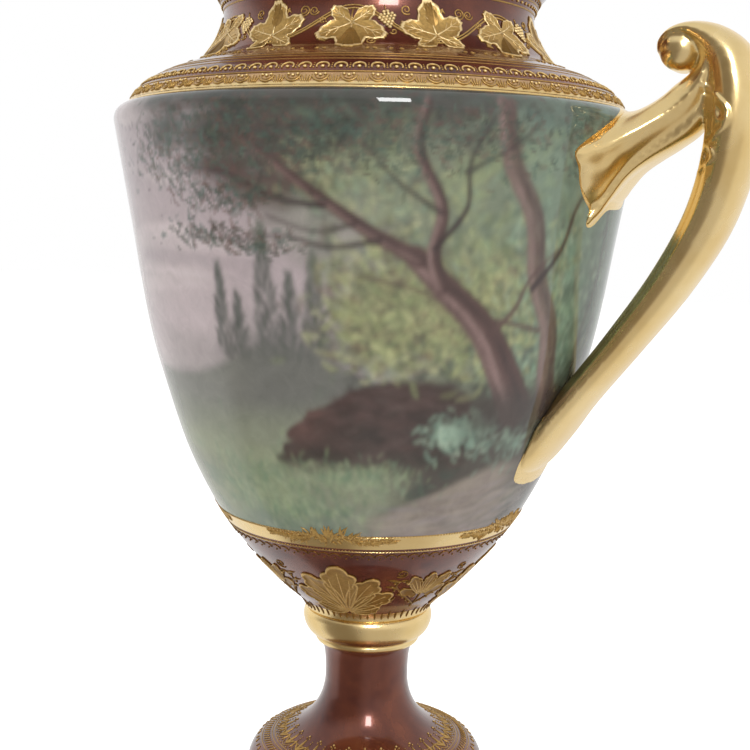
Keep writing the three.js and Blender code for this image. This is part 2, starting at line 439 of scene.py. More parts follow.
class Relief:
    """Raised ornament on an outline, collected as one mesh. Shapes are flat: x round, y up, height out."""

    def __init__(self, outline):
        self.outline = outline
        self.vertices = []
        self.faces = []
        self.heights = []
        self.count = 0

    def add(self, azimuth, run, height, faces):
        radius, level = self.outline.at(run)
        across, up = self.outline.normal(run)
        angle = np.radians(azimuth + FRONT)
        out = radius + across * height
        self.vertices.append(np.stack([out * np.cos(angle), out * np.sin(angle), level + up * height], 1))
        self.heights.append(height)
        self.faces.extend([self.count + index for index in face] for face in faces)
        self.count += len(height)

    def lay(self, shape, azimuth, run, scale=1.0, turn=0.0, flip=False, true_at=0.0):
        """Puts a flat shape at a place. Its width is true at its foot, or at a run above that."""
        points, faces = moved(shape, 0, 0, turn, flip, scale)
        radius = self.outline.at(run + true_at)[0]
        self.add(azimuth + np.degrees(points[:, 0] / radius), run + points[:, 1], points[:, 2], faces)

    def around(self, shape, count, run, start=0):
        """Lays a shape at even places all the way round."""
        for k in range(count):
            self.lay(shape, (k + start) * 360 / count, run)

    def ring(self, run, width, height, steps=240):
        """A raised line all the way round."""
        section = ridge_section(width, height, 0)
        count = len(section)
        faces = grid_faces(steps + 1, count) % (steps * count)
        azimuth = np.repeat(np.arange(steps) * 360 / steps, count)
        self.add(azimuth, run + np.tile(section[:, 0], steps), np.tile(section[:, 1], steps), faces)

    def build(self, name, material):
        piece = make_object(name, np.vstack(self.vertices), self.faces)
        layer = piece.data.attributes.new("raised", "FLOAT", "POINT")
        layer.data.foreach_set("value", np.concatenate(self.heights))
        finish_piece(piece, [material])


def heading(turn):
    """Cosine and sine of an angle in degrees."""
    return math.cos(math.radians(turn)), math.sin(math.radians(turn))


def ridge_section(width, height, base):
    """Section of a raised line, from its right foot over the crest to its left foot."""
    half = width / 2
    return np.array([
        (half, base - SUNK), (half * 0.8, base + height * 0.6), (0, base + height),
        (-half * 0.8, base + height * 0.6), (-half, base - SUNK),
    ])


def ridge(path, width, height, base=0.0):
    """A raised line along a flat path. The width is one number, or one for each point."""
    path = np.asarray(path, float)
    count = len(path)
    widths = np.broadcast_to(np.asarray(width, float), (count,))
    tangent = np.gradient(path, axis=0)
    tangent /= np.linalg.norm(tangent, axis=1)[:, None] + 1e-9
    side = np.stack([tangent[:, 1], -tangent[:, 0]], 1)
    points = []
    for place, across, local in zip(path, side, widths):
        section = ridge_section(local, height * min(1.0, 0.35 + local / (widths.max() + 1e-9)), base)
        points.append(np.column_stack([place + section[:, :1] * across, section[:, 1]]))
    faces = [list(f)[::-1] for f in grid_faces(count, 5).tolist()]
    faces.append([0, 1, 2, 3, 4])
    faces.append([(count - 1) * 5 + k for k in (4, 3, 2, 1, 0)])
    return np.vstack(points), faces


def bead(radius, height, sides=8):
    angle = np.arange(sides) * 2 * math.pi / sides
    ring = np.stack([np.cos(angle), np.sin(angle)], 1)
    foot = np.column_stack([ring * radius, np.full(sides, -SUNK)])
    waist = np.column_stack([ring * radius * 0.78, np.full(sides, height * 0.62)])
    faces = [[j, (j + 1) % sides, sides + (j + 1) % sides, sides + j] for j in range(sides)]
    faces += [[sides + j, sides + (j + 1) % sides, 2 * sides] for j in range(sides)]
    faces.append(list(range(sides))[::-1])
    return np.vstack([foot, waist, [(0, 0, height)]]), faces


def plate(radii, height, rim):
    """A leaf-like plate from its radius at even angles, with a raised rim."""
    count = len(radii)
    angle = np.arange(count) * 2 * math.pi / count
    ring = np.stack([np.cos(angle), np.sin(angle)], 1) * np.asarray(radii)[:, None]
    levels = [(1.0, -SUNK), (0.985, height * 0.9), (0.95, height + rim), (0.9, height + rim),
              (0.86, height), (0.5, height * 1.05)]
    layers = [np.column_stack([ring * share, np.full(count, level)]) for share, level in levels]
    return np.vstack(layers + [[(0, 0, -SUNK), (0, 0, height)]]), capped_faces(len(levels), count)


def moved(shape, x, y, turn=0.0, flip=False, scale=1.0):
    """A flat shape that is mirrored, scaled, turned in degrees and then moved."""
    points, faces = shape
    c, s = heading(turn)
    px, py = points[:, 0] * (-scale if flip else scale), points[:, 1] * scale
    placed = np.column_stack([px * c - py * s + x, px * s + py * c + y, points[:, 2]])
    return placed, [list(f)[::-1] for f in faces] if flip else faces


def arc_path(radius, start, end, steps, centre=(0, 0)):
    angle = np.radians(np.linspace(start, end, steps))
    return np.stack([centre[0] + radius * np.cos(angle), centre[1] + radius * np.sin(angle)], 1)


def lobed_radii(lobes, count, floor, teeth):
    """Radii of a leaf. Each lobe is its direction, half angle and length."""
    angle = np.arange(count) * 360 / count
    radii = np.full(count, float(floor))
    for direction, half, length in lobes:
        away = np.abs((angle - direction + 180) % 360 - 180) / half
        edge = 1 - 0.56 * away ** 1.2
        edge += 0.085 * ((away * teeth + 0.35) % 1.0) * (away > 0.1)
        radii = np.where(away < 1, np.maximum(radii, length * edge), radii)
    return radii


def vine_leaf():
    """A five-lobed vine leaf about 26 mm across, its stalk at the origin and its tip up."""
    lobes = [(90, 40, 18.5), (27, 38, 16.5), (153, 38, 16.5), (-38, 36, 12.5), (218, 36, 12.5)]
    parts = [plate(lobed_radii(lobes, 120, 2.2, 3), 0.4, 0.3)]
    for direction, _, length in lobes:
        along = np.array(heading(direction))
        midrib = np.outer(np.linspace(0.4, length * 0.84, 6), along)
        parts.append(ridge(midrib, np.linspace(0.9, 0.35, 6), 0.34, 0.4))
        for share in (0.34, 0.56):
            for side in (-1, 1):
                bend = np.linspace(0, length * 0.26, 4)[:, None]
                path = along * length * share + bend * heading(direction + side * 34)
                parts.append(ridge(path, np.linspace(0.5, 0.25, 4), 0.22, 0.42))
    return joined(*parts)


def grape_cluster():
    """A hanging bunch of beads, its stalk at the origin."""
    parts = []
    for row, wide in enumerate((2, 4, 5, 4, 3, 2, 1)):
        for k in range(wide):
            parts.append(moved(bead(1.12, 1.0), (k - (wide - 1) / 2) * 2.0, -1.6 - row * 1.65))
    return joined(*parts, ridge([(0, 2.2), (0.2, 0.8), (0, -0.8)], 0.6, 0.4))


def tendril(turns, size):
    """A curl that leaves the origin to the upper right and winds up on itself."""
    t = np.linspace(0, 1, int(14 * turns) + 8)
    angle = np.radians(-150 + 360 * turns * t)
    reach = size * (1 - 0.8 * t)
    path = np.stack([size * 0.9 + reach * np.cos(angle), size * 0.55 + reach * np.sin(angle)], 1)
    return ridge(path, np.linspace(0.75, 0.5, len(t)), 0.42)


def blade(length, width, bend=0.0):
    """A pointed leaflet from the origin upwards, bent to one side."""
    t = np.linspace(0, 1, 6)
    path = np.stack([bend * length * t * t, length * t], 1)
    return ridge(path, width * np.array([0.35, 0.85, 1.0, 0.85, 0.5, 0.1]), 0.45)


def blossom():
    """A little bud of three leaflets on a stalk."""
    return joined(
        moved(blade(4.6, 2.0), 0, 0), moved(blade(3.8, 1.5, 0.25), 0, 0.3, -38),
        moved(blade(3.8, 1.5, -0.25), 0, 0.3, 38), moved(bead(0.7, 0.6, 6), 0, 0.2),
    )


def petal_shape(length, width):
    """A long petal from the origin upwards, widest beyond the middle, with a scalloped round tip."""
    turn = np.radians(np.arange(84) * 360 / 84)
    middle = 0.64 * length
    up = np.sin(turn) > 0
    tall = np.where(up, length - middle, middle)
    power = np.where(up, 2.2, 1.5)
    across, along = np.abs(np.cos(turn) / (width / 2)), np.abs(np.sin(turn) / tall)
    radii = (across ** power + along ** power) ** (-1 / power)
    scallops = 1 - np.abs(np.cos((turn - math.pi / 2) * 3.5))
    radii *= 1 - 0.2 * ease(-0.6, 0.2, np.sin(turn)) * scallops
    parts = [moved(plate(radii, 0.4, 0.28), 0, middle)]
    for lean in (-0.26, 0, 0.26):
        t = np.linspace(0.12, 0.86 - abs(lean) * 0.5, 9)
        path = np.stack([lean * width * np.sin(t * 2.2), t * length], 1)
        parts.append(ridge(path, np.linspace(0.9, 0.35, 9), 0.26, 0.4))
    return joined(*parts)


def acanthus():
    """A broad upright leaf about 42 mm tall of seven overlapping petals, rooted at the origin."""
    parts = []
    for turn, length, width in ((74, 20, 11), (-74, 20, 11), (50, 31, 14), (-50, 31, 14), (25, 36, 14),
                                (-25, 36, 14), (0, 42, 16)):
        points, faces = moved(petal_shape(length, width), 0, 0, turn)
        parts.append((points + [0, 0, 0.12 * (90 - abs(turn)) / 90], faces))
    return joined(*parts)


def fleuron():
    """An upright bud of broad petals on a stalk with two curling side leaves."""
    side_leaf = plate(lobed_radii([(90, 42, 9.5)], 60, 2.0, 2), 0.36, 0.22)
    parts = [moved(petal_shape(19, 6.5), x, 13, turn) for x, turn in ((-1.2, 24), (1.2, -24), (0, 0))]
    parts += [moved(side_leaf, -4.6, 13, 52), moved(side_leaf, 4.6, 13, -52)]
    parts.append(ridge([(0, 0), (0.4, 5), (0.2, 10), (0, 16)], [1.6, 1.3, 1.2, 1.4], 0.5))
    turns = [(0, 3), (5, 8), (10, 14), (15, 22), (13, 27), (9.6, 26), (10.4, 23)]
    curl = spline(turns, np.linspace(0, 1, 26))
    for side in (1, -1):
        parts.append(moved(ridge(curl, np.linspace(1.3, 0.5, 26), 0.45), 0, 0, 0, side < 0))
        for x, y in curl[3:22:2]:
            parts.append(moved(bead(0.75, 0.65, 6), side * x * 1.12, y - 0.8))
        for place, length in ((7, 5.5), (11, 6.5), (15, 5.5)):
            x, y = curl[place]
            parts.append(moved(blade(length, 2.2, side * 0.3), side * x, y, side * -50))
        parts.append(moved(bead(1.0, 0.9), side * 9.9, 24.2))
    return joined(*parts)


# ---- the bands of ornament ----

# Heights of the ornament.
VINE_MIDDLE = 359.2
VINE_CURLS = 347.4
VINE_LINES = (344.6, 343.4)
ARCHES = 338.0
ARCH_LINES = (336.0, 341.9)
SWAGS = 333.4
SCALLOPS = 130.2
LEAF_ROOT = 94.5
COLLAR_SPIKES = 89.4
WAIST_RADIUS = 74          # of the vase at the waist sprays


def neck_vine(material):
    """The running vine: a waving stem with leaves, grapes, buds and curls."""
    relief = Relief(OUTSIDE)
    leaves = 14
    phase = -8.3           # azimuth of the leaf nearest the front
    middle = OUTSIDE.run_at(VINE_MIDDLE)
    azimuth = np.linspace(180, 540, 721)
    for offset, width in ((-0.7, 0.95), (0.7, 0.75)):
        swing = 8.4 * np.cos(np.radians((azimuth - phase) * leaves / 2)) + offset
        path = np.stack([np.radians(azimuth) * OUTSIDE.at(middle)[0], swing], 1)
        relief.lay(ridge(path, width, 0.5), 0, middle)
    leaf, cluster, bud = vine_leaf(), grape_cluster(), blossom()
    flowers = joined(*[moved(bead(0.62, 0.55, 6), x, y) for x, y in (
        (0, 0), (1.3, 0.5), (-1.3, 0.5), (0.6, -1.2), (-0.7, -1.2), (1.8, -0.9), (0, 1.4), (-1.9, -0.8))])
    hanging = ridge([(0, 0), (0.5, -1.5), (0.2, -3)], 0.8, 0.4)
    rising = ridge([(0, 0), (-0.4, 4), (0.2, 7.6)], 0.8, 0.4)
    # Round each leaf in turn: shape, azimuth from it, height from the middle, scale, turn, mirrored.
    low_group = [
        (leaf, 0, -5.0, 1.0, 0, False), (hanging, 0, -6.0, 1.0, 0, False),
        (tendril(1.8, 2.7), 7.6, 5.2, 1.0, 10, False), (tendril(1.5, 2.3), -7.6, 5.4, 1.0, -20, True),
        (bud, 3.4, 8.6, 0.62, 160, False),
    ]
    high_group = [
        (leaf, 0, 0.6, 0.98, 180, False), (rising, 0, 0.6, 1.0, 0, False),
        (cluster, 10.2, 7.4, 0.78, 12, False), (tendril(1.3, 2.0), 7.4, -9.2, 1.0, 30, True),
        (bud, -9.2, -8.4, 0.8, -62, False),
        (flowers, -9.6, 2.2, 0.9, 0, False), (tendril(1.6, 2.2), -11.2, 6.6, 1.0, 24, True),
        (tendril(1.1, 1.6), 11.6, -4.2, 1.0, -10, False),
    ]
    small_curl = tendril(0.9, 1.15)
    for k in range(leaves):
        place = phase + k * 360 / leaves
        for shape, shift, up, scale, turn, flip in low_group if k % 2 else high_group:
            lean = 10 * math.sin(k * 2.1) if shape is leaf else 0
            relief.lay(shape, place + shift, middle + up, scale, turn + lean, flip)
        for j, shift in enumerate((-11, -8, -5, 5, 8, 11)):
            odd = j % 2
            run = OUTSIDE.run_at(VINE_CURLS) + 0.4 * odd
            relief.lay(small_curl, place + shift, run, 0.95, -20 + 40 * odd, odd == 0)
    relief.ring(OUTSIDE.run_at(VINE_LINES[0]), 0.5, 0.25)
    relief.ring(OUTSIDE.run_at(VINE_LINES[1]), 0.35, 0.25)
    relief.build("neck_vine", material)


def neck_beading(material):
    """A band above the vine: beads between two lines, under small arches."""
    relief = Relief(OUTSIDE)
    low = OUTSIDE.run_at(NECK_HEIGHT + 2)
    relief.ring(low, 0.9, 0.3)
    relief.ring(low + 4.2, 0.9, 0.3)
    relief.around(bead(0.85, 0.7), 110, low + 2.1)
    relief.around(ridge(arc_path(1.9, 180, 0, 7), 0.5, 0.3), 110, low + 4.9)
    relief.build("neck_beading", material)


def shoulder_bands(material):
    """Two bands on the shoulder: arches with an eye, and swags with three beads."""
    relief = Relief(OUTSIDE)
    arch = joined(
        ridge(arc_path(2.5, 205, -25, 13), 0.9 * np.sin(np.linspace(0.5, math.pi - 0.5, 13)) + 0.2, 0.6),
        moved(bead(0.95, 0.75), 0, -0.3), moved(bead(0.5, 0.45, 6), 3.6, -0.9),
        moved(bead(0.42, 0.4, 6), 3.6, 0.7), moved(bead(0.36, 0.35, 6), 3.6, 2.0),
    )
    relief.around(arch, 96, OUTSIDE.run_at(ARCHES) + 0.4)
    swag = joined(
        ridge(arc_path(3.4, -172, -8, 13, (0, 1.8)), 0.6, 0.5),
        ridge(arc_path(2.3, -165, -15, 9, (0, 1.8)), 0.4, 0.35),
        moved(bead(0.8, 0.7), -1.9, 1.9), moved(bead(0.8, 0.7), 1.9, 1.9), moved(bead(0.85, 0.75), 0, 1.4),
        *[moved(blade(3.9 - abs(side) * 0.5, 0.7), 5.4 + side * 0.7, -1.9, -side * 13)
          for side in (-2, -1, 0, 1, 2)],
    )
    relief.around(swag, 64, OUTSIDE.run_at(SWAGS) - 0.1)
    relief.ring(OUTSIDE.run_at(ARCH_LINES[0]), 0.7, 0.35)
    relief.ring(OUTSIDE.run_at(ARCH_LINES[1]), 0.5, 0.2)
    relief.build("shoulder_bands", material)


def polished_fillets(material):
    """Smooth gilt fillets at the shoulder and at both edges of the polished band."""
    relief = Relief(OUTSIDE)
    relief.ring(OUTSIDE.run_at(SHOULDER_LINE[1]), 2.0, 0.35, 300)
    relief.ring(OUTSIDE.run_at(BAND_LOW + 0.3), 0.5, 0.3, 300)
    relief.ring(OUTSIDE.run_at(BAND_HIGH - 0.3), 0.5, 0.3, 300)
    relief.build("polished_fillets", material)


def waist_sprays(material):
    """Bead rows and five spiky sprays of foliage on the band under the landscape."""
    relief = Relief(OUTSIDE)
    rng = np.random.default_rng(11)
    low, high = OUTSIDE.run_at(BAND_LOW), OUTSIDE.run_at(BAND_HIGH)
    relief.around(bead(0.42, 0.45, 6), 300, low + 0.9)
    relief.around(bead(0.42, 0.45, 6), 330, high + 0.3)
    for centre in np.arange(5) * 72 - 14:
        for side in (-1, 1):
            for step in range(64):
                share = step / 63
                azimuth = centre + math.degrees(side * (0.8 + 29 * share ** 0.9) / WAIST_RADIUS)
                wave = 2.6 * math.sin(share * 9)
                run = high - 2.8 + wave * (1 - share) + rng.uniform(-2.2, 2.2) * (1 - share)
                length = (6.6 - 4.0 * share) * rng.uniform(0.5, 1.15)
                turn = -side * (12 + 58 * share) + rng.uniform(-42, 42)
                relief.lay(blade(length, 1.05 - 0.4 * share, side * 0.18), azimuth, run, 1.0, turn)
                if step % 2:
                    down = 180 + side * rng.uniform(20, 75)
                    relief.lay(blade(length * 0.62, 0.85, side * 0.2), azimuth, run - 0.4, 1.0, down)
                if step % 5 == 1:
                    relief.lay(bead(0.6, 0.6, 6), azimuth, run + 1.8)
        for turn in (-24, -8, 8, 24):
            relief.lay(blade(8.2 - abs(turn) * 0.08, 1.8), centre, high - 1.6, 1.0, turn)
    relief.build("waist_sprays", material)


def bowl_leaves(material):
    """Scalloped line, large leaves and buds under the waist band."""
    relief = Relief(OUTSIDE)
    scallop = joined(ridge(arc_path(2.45, 172, 8, 9), 0.42, 0.35), moved(bead(0.5, 0.45, 6), 0, -0.6))
    relief.around(scallop, 84, OUTSIDE.run_at(SCALLOPS) - 0.8)
    root = OUTSIDE.run_at(LEAF_ROOT)
    leaf, bud, curl = acanthus(), fleuron(), tendril(1.5, 3.0)
    for leaf_place in np.arange(4) * 90 - 14:
        bud_place = leaf_place + 45
        relief.lay(leaf, leaf_place, root, 0.98, true_at=18)
        relief.lay(bud, bud_place, root + 4, 0.95, true_at=14)
        for side in (-1, 1):
            relief.lay(curl, leaf_place + side * 27, root + 33, 1.0, 20 * side, side < 0)
            relief.lay(blossom(), bud_place + side * 17, root + 11, 1.0, -side * 30)
    for k in range(60):
        relief.lay(blade(6.5 if k % 2 else 4.5, 1.2), k * 6, OUTSIDE.run_at(COLLAR_SPIKES))
    relief.build("bowl_leaves", material)


def foot_pendants(material):
    """Pendants, lattice and lines on the spread of the foot."""
    relief = Relief(FOOT)
    rim = FOOT.run_at(FOOT_RIM_HEIGHT)
    for offset in (5.0, 6.6, -0.6, 12.5):
        relief.ring(rim + offset, 0.6, 0.3)
    relief.around(ridge([(-1.0, -1.5), (-0.4, -0.6), (0.4, 0.6), (1.0, 1.5)], 0.8, 0.4), 120, rim + 2.2)
    pendant = joined(
        blade(9.5, 1.8), moved(blade(6, 1.3, 0.35), 0.4, 0.5, -26),
        moved(blade(6, 1.3, -0.35), -0.4, 0.5, 26), moved(bead(0.75, 0.6), 0, 10.6),
        moved(bead(0.55, 0.5, 6), -1.3, 9.4), moved(bead(0.55, 0.5, 6), 1.3, 9.4),
        ridge(arc_path(3.4, 200, 340, 9, (0, 2.6)), 0.5, 0.35),
    )
    spear = joined(blade(6.5, 1.2), moved(bead(0.5, 0.5, 6), 0, 7.4), moved(bead(0.4, 0.4, 6), 0, 8.8))
    relief.around(pendant, 28, rim + 8.5)
    relief.around(spear, 28, rim + 8.3, 0.5)
    relief.around(bead(0.5, 0.45, 6), 84, rim + 7.6)
    for k in range(72):
        relief.lay(blade(2.6, 0.6), k * 5, rim - 4.4, 1.0, 20 if k % 2 else -20)
    relief.build("foot_pendants", material)


# ---- the painted landscape ----

PAINT_DEPTH = 0.86


def hue(red, green, blue):
    """Linear colour from display values out of 255."""
    share = np.array([red, green, blue]) / 255 * PAINT_DEPTH
    return np.where(share <= 0.04045, share / 12.92, ((share + 0.055) / 1.055) ** 2.4)


def hues(*colours):
    return [hue(*colour) for colour in colours]


def cloud(azimuth, height, wide, tall, seed):
    """Soft noise from 0 to 1 that closes on itself round the vase. Wide is in degrees, tall in mm."""
    rng = np.random.default_rng(seed)
    total, weight, power = 0, 0, 1.0
    for _ in range(4):
        cells = max(3, int(round(360 / wide)))
        rows = int(220 / tall) + 3
        lattice = rng.random((rows, cells))
        u = (azimuth % 360) / 360 * cells
        v = (height - 130) / tall
        i, j = np.floor(v).astype(int) % rows, np.floor(u).astype(int) % cells
        a, b = ease(0, 1, v - np.floor(v)), ease(0, 1, u - np.floor(u))
        i2, j2 = (i + 1) % rows, (j + 1) % cells
        top = lattice[i2, j] * (1 - b) + lattice[i2, j2] * b
        low = lattice[i, j] * (1 - b) + lattice[i, j2] * b
        total = total + power * (low * (1 - a) + top * a)
        weight += power
        power *= 0.55
        wide, tall = wide / 2, tall / 2
    return total / weight


class Painting:
    """Colours at the vertices of the belly. Places are azimuth from the front and height."""

    def __init__(self, azimuths, heights, radii):
        self.columns = np.asarray(azimuths, float)
        self.rows = np.asarray(heights, float)
        self.scale = np.radians(np.asarray(radii, float))
        self.azimuth, self.height = np.meshgrid(self.columns, self.rows)
        self.colour = np.zeros(self.azimuth.shape + (3,))
        self.rng = np.random.default_rng(5)

    def cloud(self, wide, tall, seed):
        return cloud(self.azimuth, self.height, wide, tall, seed)

    def between(self, left, right, soft):
        """One between two azimuths, fading over a soft width in degrees."""
        return ease(left - soft, left + soft, self.azimuth) * ease(right + soft, right - soft, self.azimuth)

    def wash(self, mask, colour):
        mask = np.clip(mask, 0, 1)[..., None]
        self.colour = self.colour * (1 - mask) + np.asarray(colour) * mask

    def washes(self, *layers):
        """Washes one over the other, each its mask and its display colour."""
        for mask, colour in layers:
            self.wash(mask, hue(*colour))

    def scale_at(self, height):
        """Millimetres in a degree."""
        return float(np.interp(height, self.rows, self.scale))

    def window(self, azimuth, height, reach):
        """The rows and columns near a place, and each vertex's distance from it round and up."""
        scale = self.scale_at(height)
        i = slice(*np.searchsorted(self.rows, (height - reach, height + reach)))
        j = slice(*np.searchsorted(self.columns, (azimuth - reach / scale, azimuth + reach / scale)))
        return i, j, (self.azimuth[i, j] - azimuth) * scale, self.height[i, j] - height

    def dab(self, azimuth, height, length, width, turn, colour, strength, curve=0.35):
        """One touch of the brush, an ellipse with a soft edge."""
        i, j, x, y = self.window(azimuth, height, length)
        if x.size == 0:
            return
        c, s = math.cos(turn), math.sin(turn)
        along, across = (x * c + y * s) / length, (y * c - x * s) / width
        mask = strength * ease(1.0, 0.45, np.hypot(along, across + curve * along * along))[..., None]
        self.colour[i, j] = self.colour[i, j] * (1 - mask) + np.asarray(colour) * mask

    def stroke(self, points, start, end, colour, light=None, strength=1.0):
        """A tapering limb through the points, lighter along its left side and darker along its right."""
        path = spline(points, np.linspace(0, 1, 34 * len(points)))
        nearest = np.full(self.azimuth.shape, 9.0)
        side = np.zeros_like(nearest)
        for share, (azimuth, height) in zip(np.linspace(0, 1, len(path)), path):
            width = start + (end - start) * share
            i, j, x, y = self.window(azimuth, height, width + 2)
            away = np.hypot(x, y) - width
            closer = away < nearest[i, j]
            nearest[i, j] = np.where(closer, away, nearest[i, j])
            side[i, j] = np.where(closer, (0.3 * y - x) / (width + 0.1), side[i, j])
        mask = strength * ease(1.0, -0.9, nearest)
        self.wash(mask, colour)
        if light is not None:
            self.wash(mask * 0.45 * ease(-0.1, 0.9, side), light)
            self.wash(mask * 0.6 * ease(-0.1, -0.9, side), np.asarray(colour) * 0.55)

    def bark(self, path, start, end, tones):
        """Short touches along a trunk that give its bark light and shade."""
        for _ in range(int(26 * start)):
            t = self.rng.random()
            azimuth, height = spline(path, np.array([t]))[0]
            ahead = spline(path, np.array([min(t + 0.02, 1.0)]))[0]
            scale = self.scale_at(height)
            width = (start + (end - start) * t) * 0.75
            shift = self.rng.uniform(-1, 1)
            tone = tones[0] if shift < -0.25 else tones[1] if shift < 0.35 else tones[2]
            turn = math.atan2(ahead[1] - height, (ahead[0] - azimuth) * scale)
            length = self.rng.uniform(5, 11)
            tone = tone * self.rng.uniform(0.9, 1.1)
            self.dab(azimuth + shift * width / scale, height, length, 1.1, turn, tone, 0.2, 0.0)

    def soften(self):
        """Each colour mixed with its neighbours', as the enamels sink into each other in the fire."""
        for axis in (0, 1):
            before, after = np.roll(self.colour, 1, axis), np.roll(self.colour, -1, axis)
            if axis == 0:
                before[0], after[-1] = self.colour[0], self.colour[-1]
            self.colour = 0.5 * self.colour + 0.25 * (before + after)

    def leaves(self, centre, spread, count, length, colours, lean=0.0, strength=0.75):
        """A drift of leaf touches round a place, thinning outwards."""
        rng = self.rng
        for _ in range(count):
            azimuth = centre[0] + rng.normal() * spread[0]
            height = centre[1] + rng.normal() * spread[1]
            tone = colours[rng.integers(len(colours))] * rng.uniform(0.8, 1.2)
            turn = lean + rng.normal() * 0.7
            size = length * rng.uniform(0.6, 1.25)
            self.dab(azimuth, height, size, size * 0.42, turn, tone, strength * rng.uniform(0.6, 1))


def paint_landscape(azimuths, heights, radii):
    p = Painting(azimuths, heights, radii)
    paint_sky(p)
    paint_distance(p)
    paint_woods(p)
    paint_meadow(p)
    paint_rock(p)
    paint_path(p)
    paint_foliage(p)
    paint_trees(p)
    paint_back(p)
    return p.colour


def paint_sky(p):
    p.washes(
        (np.ones_like(p.height), (176, 163, 163)),
        (ease(215, 320, p.height) * 0.8, (152, 139, 141)),
        (0.5 * p.cloud(40, 16, 1) * ease(200, 260, p.height), (128, 118, 122)),
        (0.5 * ease(0.55, 0.75, p.cloud(50, 12, 2)), (190, 178, 176)),
    )


# Conifers of the distance: azimuth, height of the foot and of the tip, half width.
CONIFERS = [
    (-35, 222, 260, 4.2), (-30.5, 222, 248, 4.2), (-23.5, 222, 277, 5.8), (-18, 222, 257, 5.2),
    (-12.5, 222, 265, 5.0), (-150, 205, 240, 4.5), (-143, 205, 252, 5.0), (-136, 205, 232, 4.0),
]


def paint_distance(p):
    """Misty hills and a group of dark conifers on the left."""
    az, z, rng = p.azimuth, p.height, p.rng
    far_side = np.abs(az) > 70
    hills = 209 + 17 * np.exp(-((az + 22) / 17) ** 2) + 7 * np.sin(np.radians(az * 2.4 + 60)) * far_side
    hills = hills + 3 * cloud(az, z * 0 + 150, 20, 40, 3)
    p.washes((ease(hills + 14, hills - 2, z) * 0.35, (132, 124, 124)),
             (ease(hills + 2.5, hills - 2.5, z), (112, 112, 104)))
    mist, dark = hues((98, 98, 94), (54, 60, 54))
    for azimuth, foot, top, half in CONIFERS:
        for level in np.arange(foot, top, 0.8):
            share = (top - level) / (top - foot)
            width = half * (0.08 + 1.15 * share ** 0.8) * (1 if share < 0.75 else 0.85)
            for _ in range(5):
                shift = rng.uniform(-1, 1) * width
                tone = (dark if rng.random() < 0.2 + share * 0.4 else mist) * rng.uniform(0.85, 1.12)
                turn = math.pi / 2 - shift / width * 0.5
                length = rng.uniform(2.2, 4.2)
                p.dab(azimuth + shift / 1.8, level, length, 1.1, turn, tone, rng.uniform(0.18, 0.42))
    p.washes((0.6 * ease(250, 224, z) * p.between(-32, -2, 8), (86, 87, 84)),
             (0.35 * ease(236, 224, z) * p.between(-60, -2, 8), (104, 102, 98)))


def paint_woods(p):
    """Soft masses of wood on the right and under the shoulder."""
    az, z, rng = p.azimuth, p.height, p.rng
    clouds, fine = p.cloud(24, 24, 4), p.cloud(9, 10, 6)
    right = ease(-16, 12, az + 0.25 * (z - 240) + 26 * (clouds - 0.5)) * ease(128, 108, az)
    teal = p.between(52, 92, 12) * ease(170, 200, z)
    level = np.interp(az, [-60, -34, -4, 20, 44, 70, 128], [306, 288, 285, 296, 310, 300, 300])
    canopy = ease(0, 30, z - level + 64 * (clouds - 0.5)) * p.between(-58, 128, 9)
    p.washes(
        (right * ease(176, 196, z), (112, 118, 100)),
        (right * ease(0.42, 0.66, fine) * ease(176, 196, z) * 0.7, (132, 140, 104)),
        (teal * (0.55 + 0.6 * (clouds - 0.4)), (84, 98, 92)),
        (teal * ease(0.5, 0.75, fine) * 0.6, (112, 134, 112)),
        (p.between(70, 116, 12) * (0.7 + 0.3 * fine), (40, 52, 52)),
        (p.between(84, 100, 4) * 0.5 * ease(190, 240, z) * clouds, (96, 88, 104)),
        (canopy * 0.95, (66, 64, 61)),
        (canopy * ease(0.45, 0.7, fine) * 0.7, (52, 58, 54)),
        (canopy * ease(0.56, 0.8, clouds) * 0.6, (88, 62, 58)),
        (canopy * ease(0.5, 0.85, 1 - fine) * 0.6 * ease(-10, 30, az), (86, 102, 96)),
        (canopy * ease(0.5, 0.72, fine) * 0.6 * ease(-2, 30, az), (116, 134, 124)),
        (p.between(28, 84, 10) * ease(200, 216, z) * 0.4, (104, 132, 116)),
    )
    tones = hues((78, 92, 84), (98, 112, 92), (84, 72, 68), (58, 68, 64), (112, 128, 112), (124, 134, 98),
                 (68, 60, 58))
    for _ in range(1500):
        azimuth, height = rng.uniform(-14, 100), rng.uniform(196, 322)
        strength = rng.uniform(0.12, 0.34) * (1 if azimuth + 0.25 * (height - 240) > -8 else 0.2)
        size = rng.uniform(3, 8)
        turn = 1.2 + rng.normal() * 0.8
        p.dab(azimuth, height, size, size * 0.34, turn, tones[rng.integers(7)], strength)
    shade = hue(50, 50, 48)
    for _ in range(700):
        azimuth, height = rng.uniform(-6, 74), 188 + abs(rng.normal()) * 20
        p.dab(azimuth, height, rng.uniform(2.5, 6), rng.uniform(1.2, 2.4), rng.normal() * 0.7, shade, 0.3)


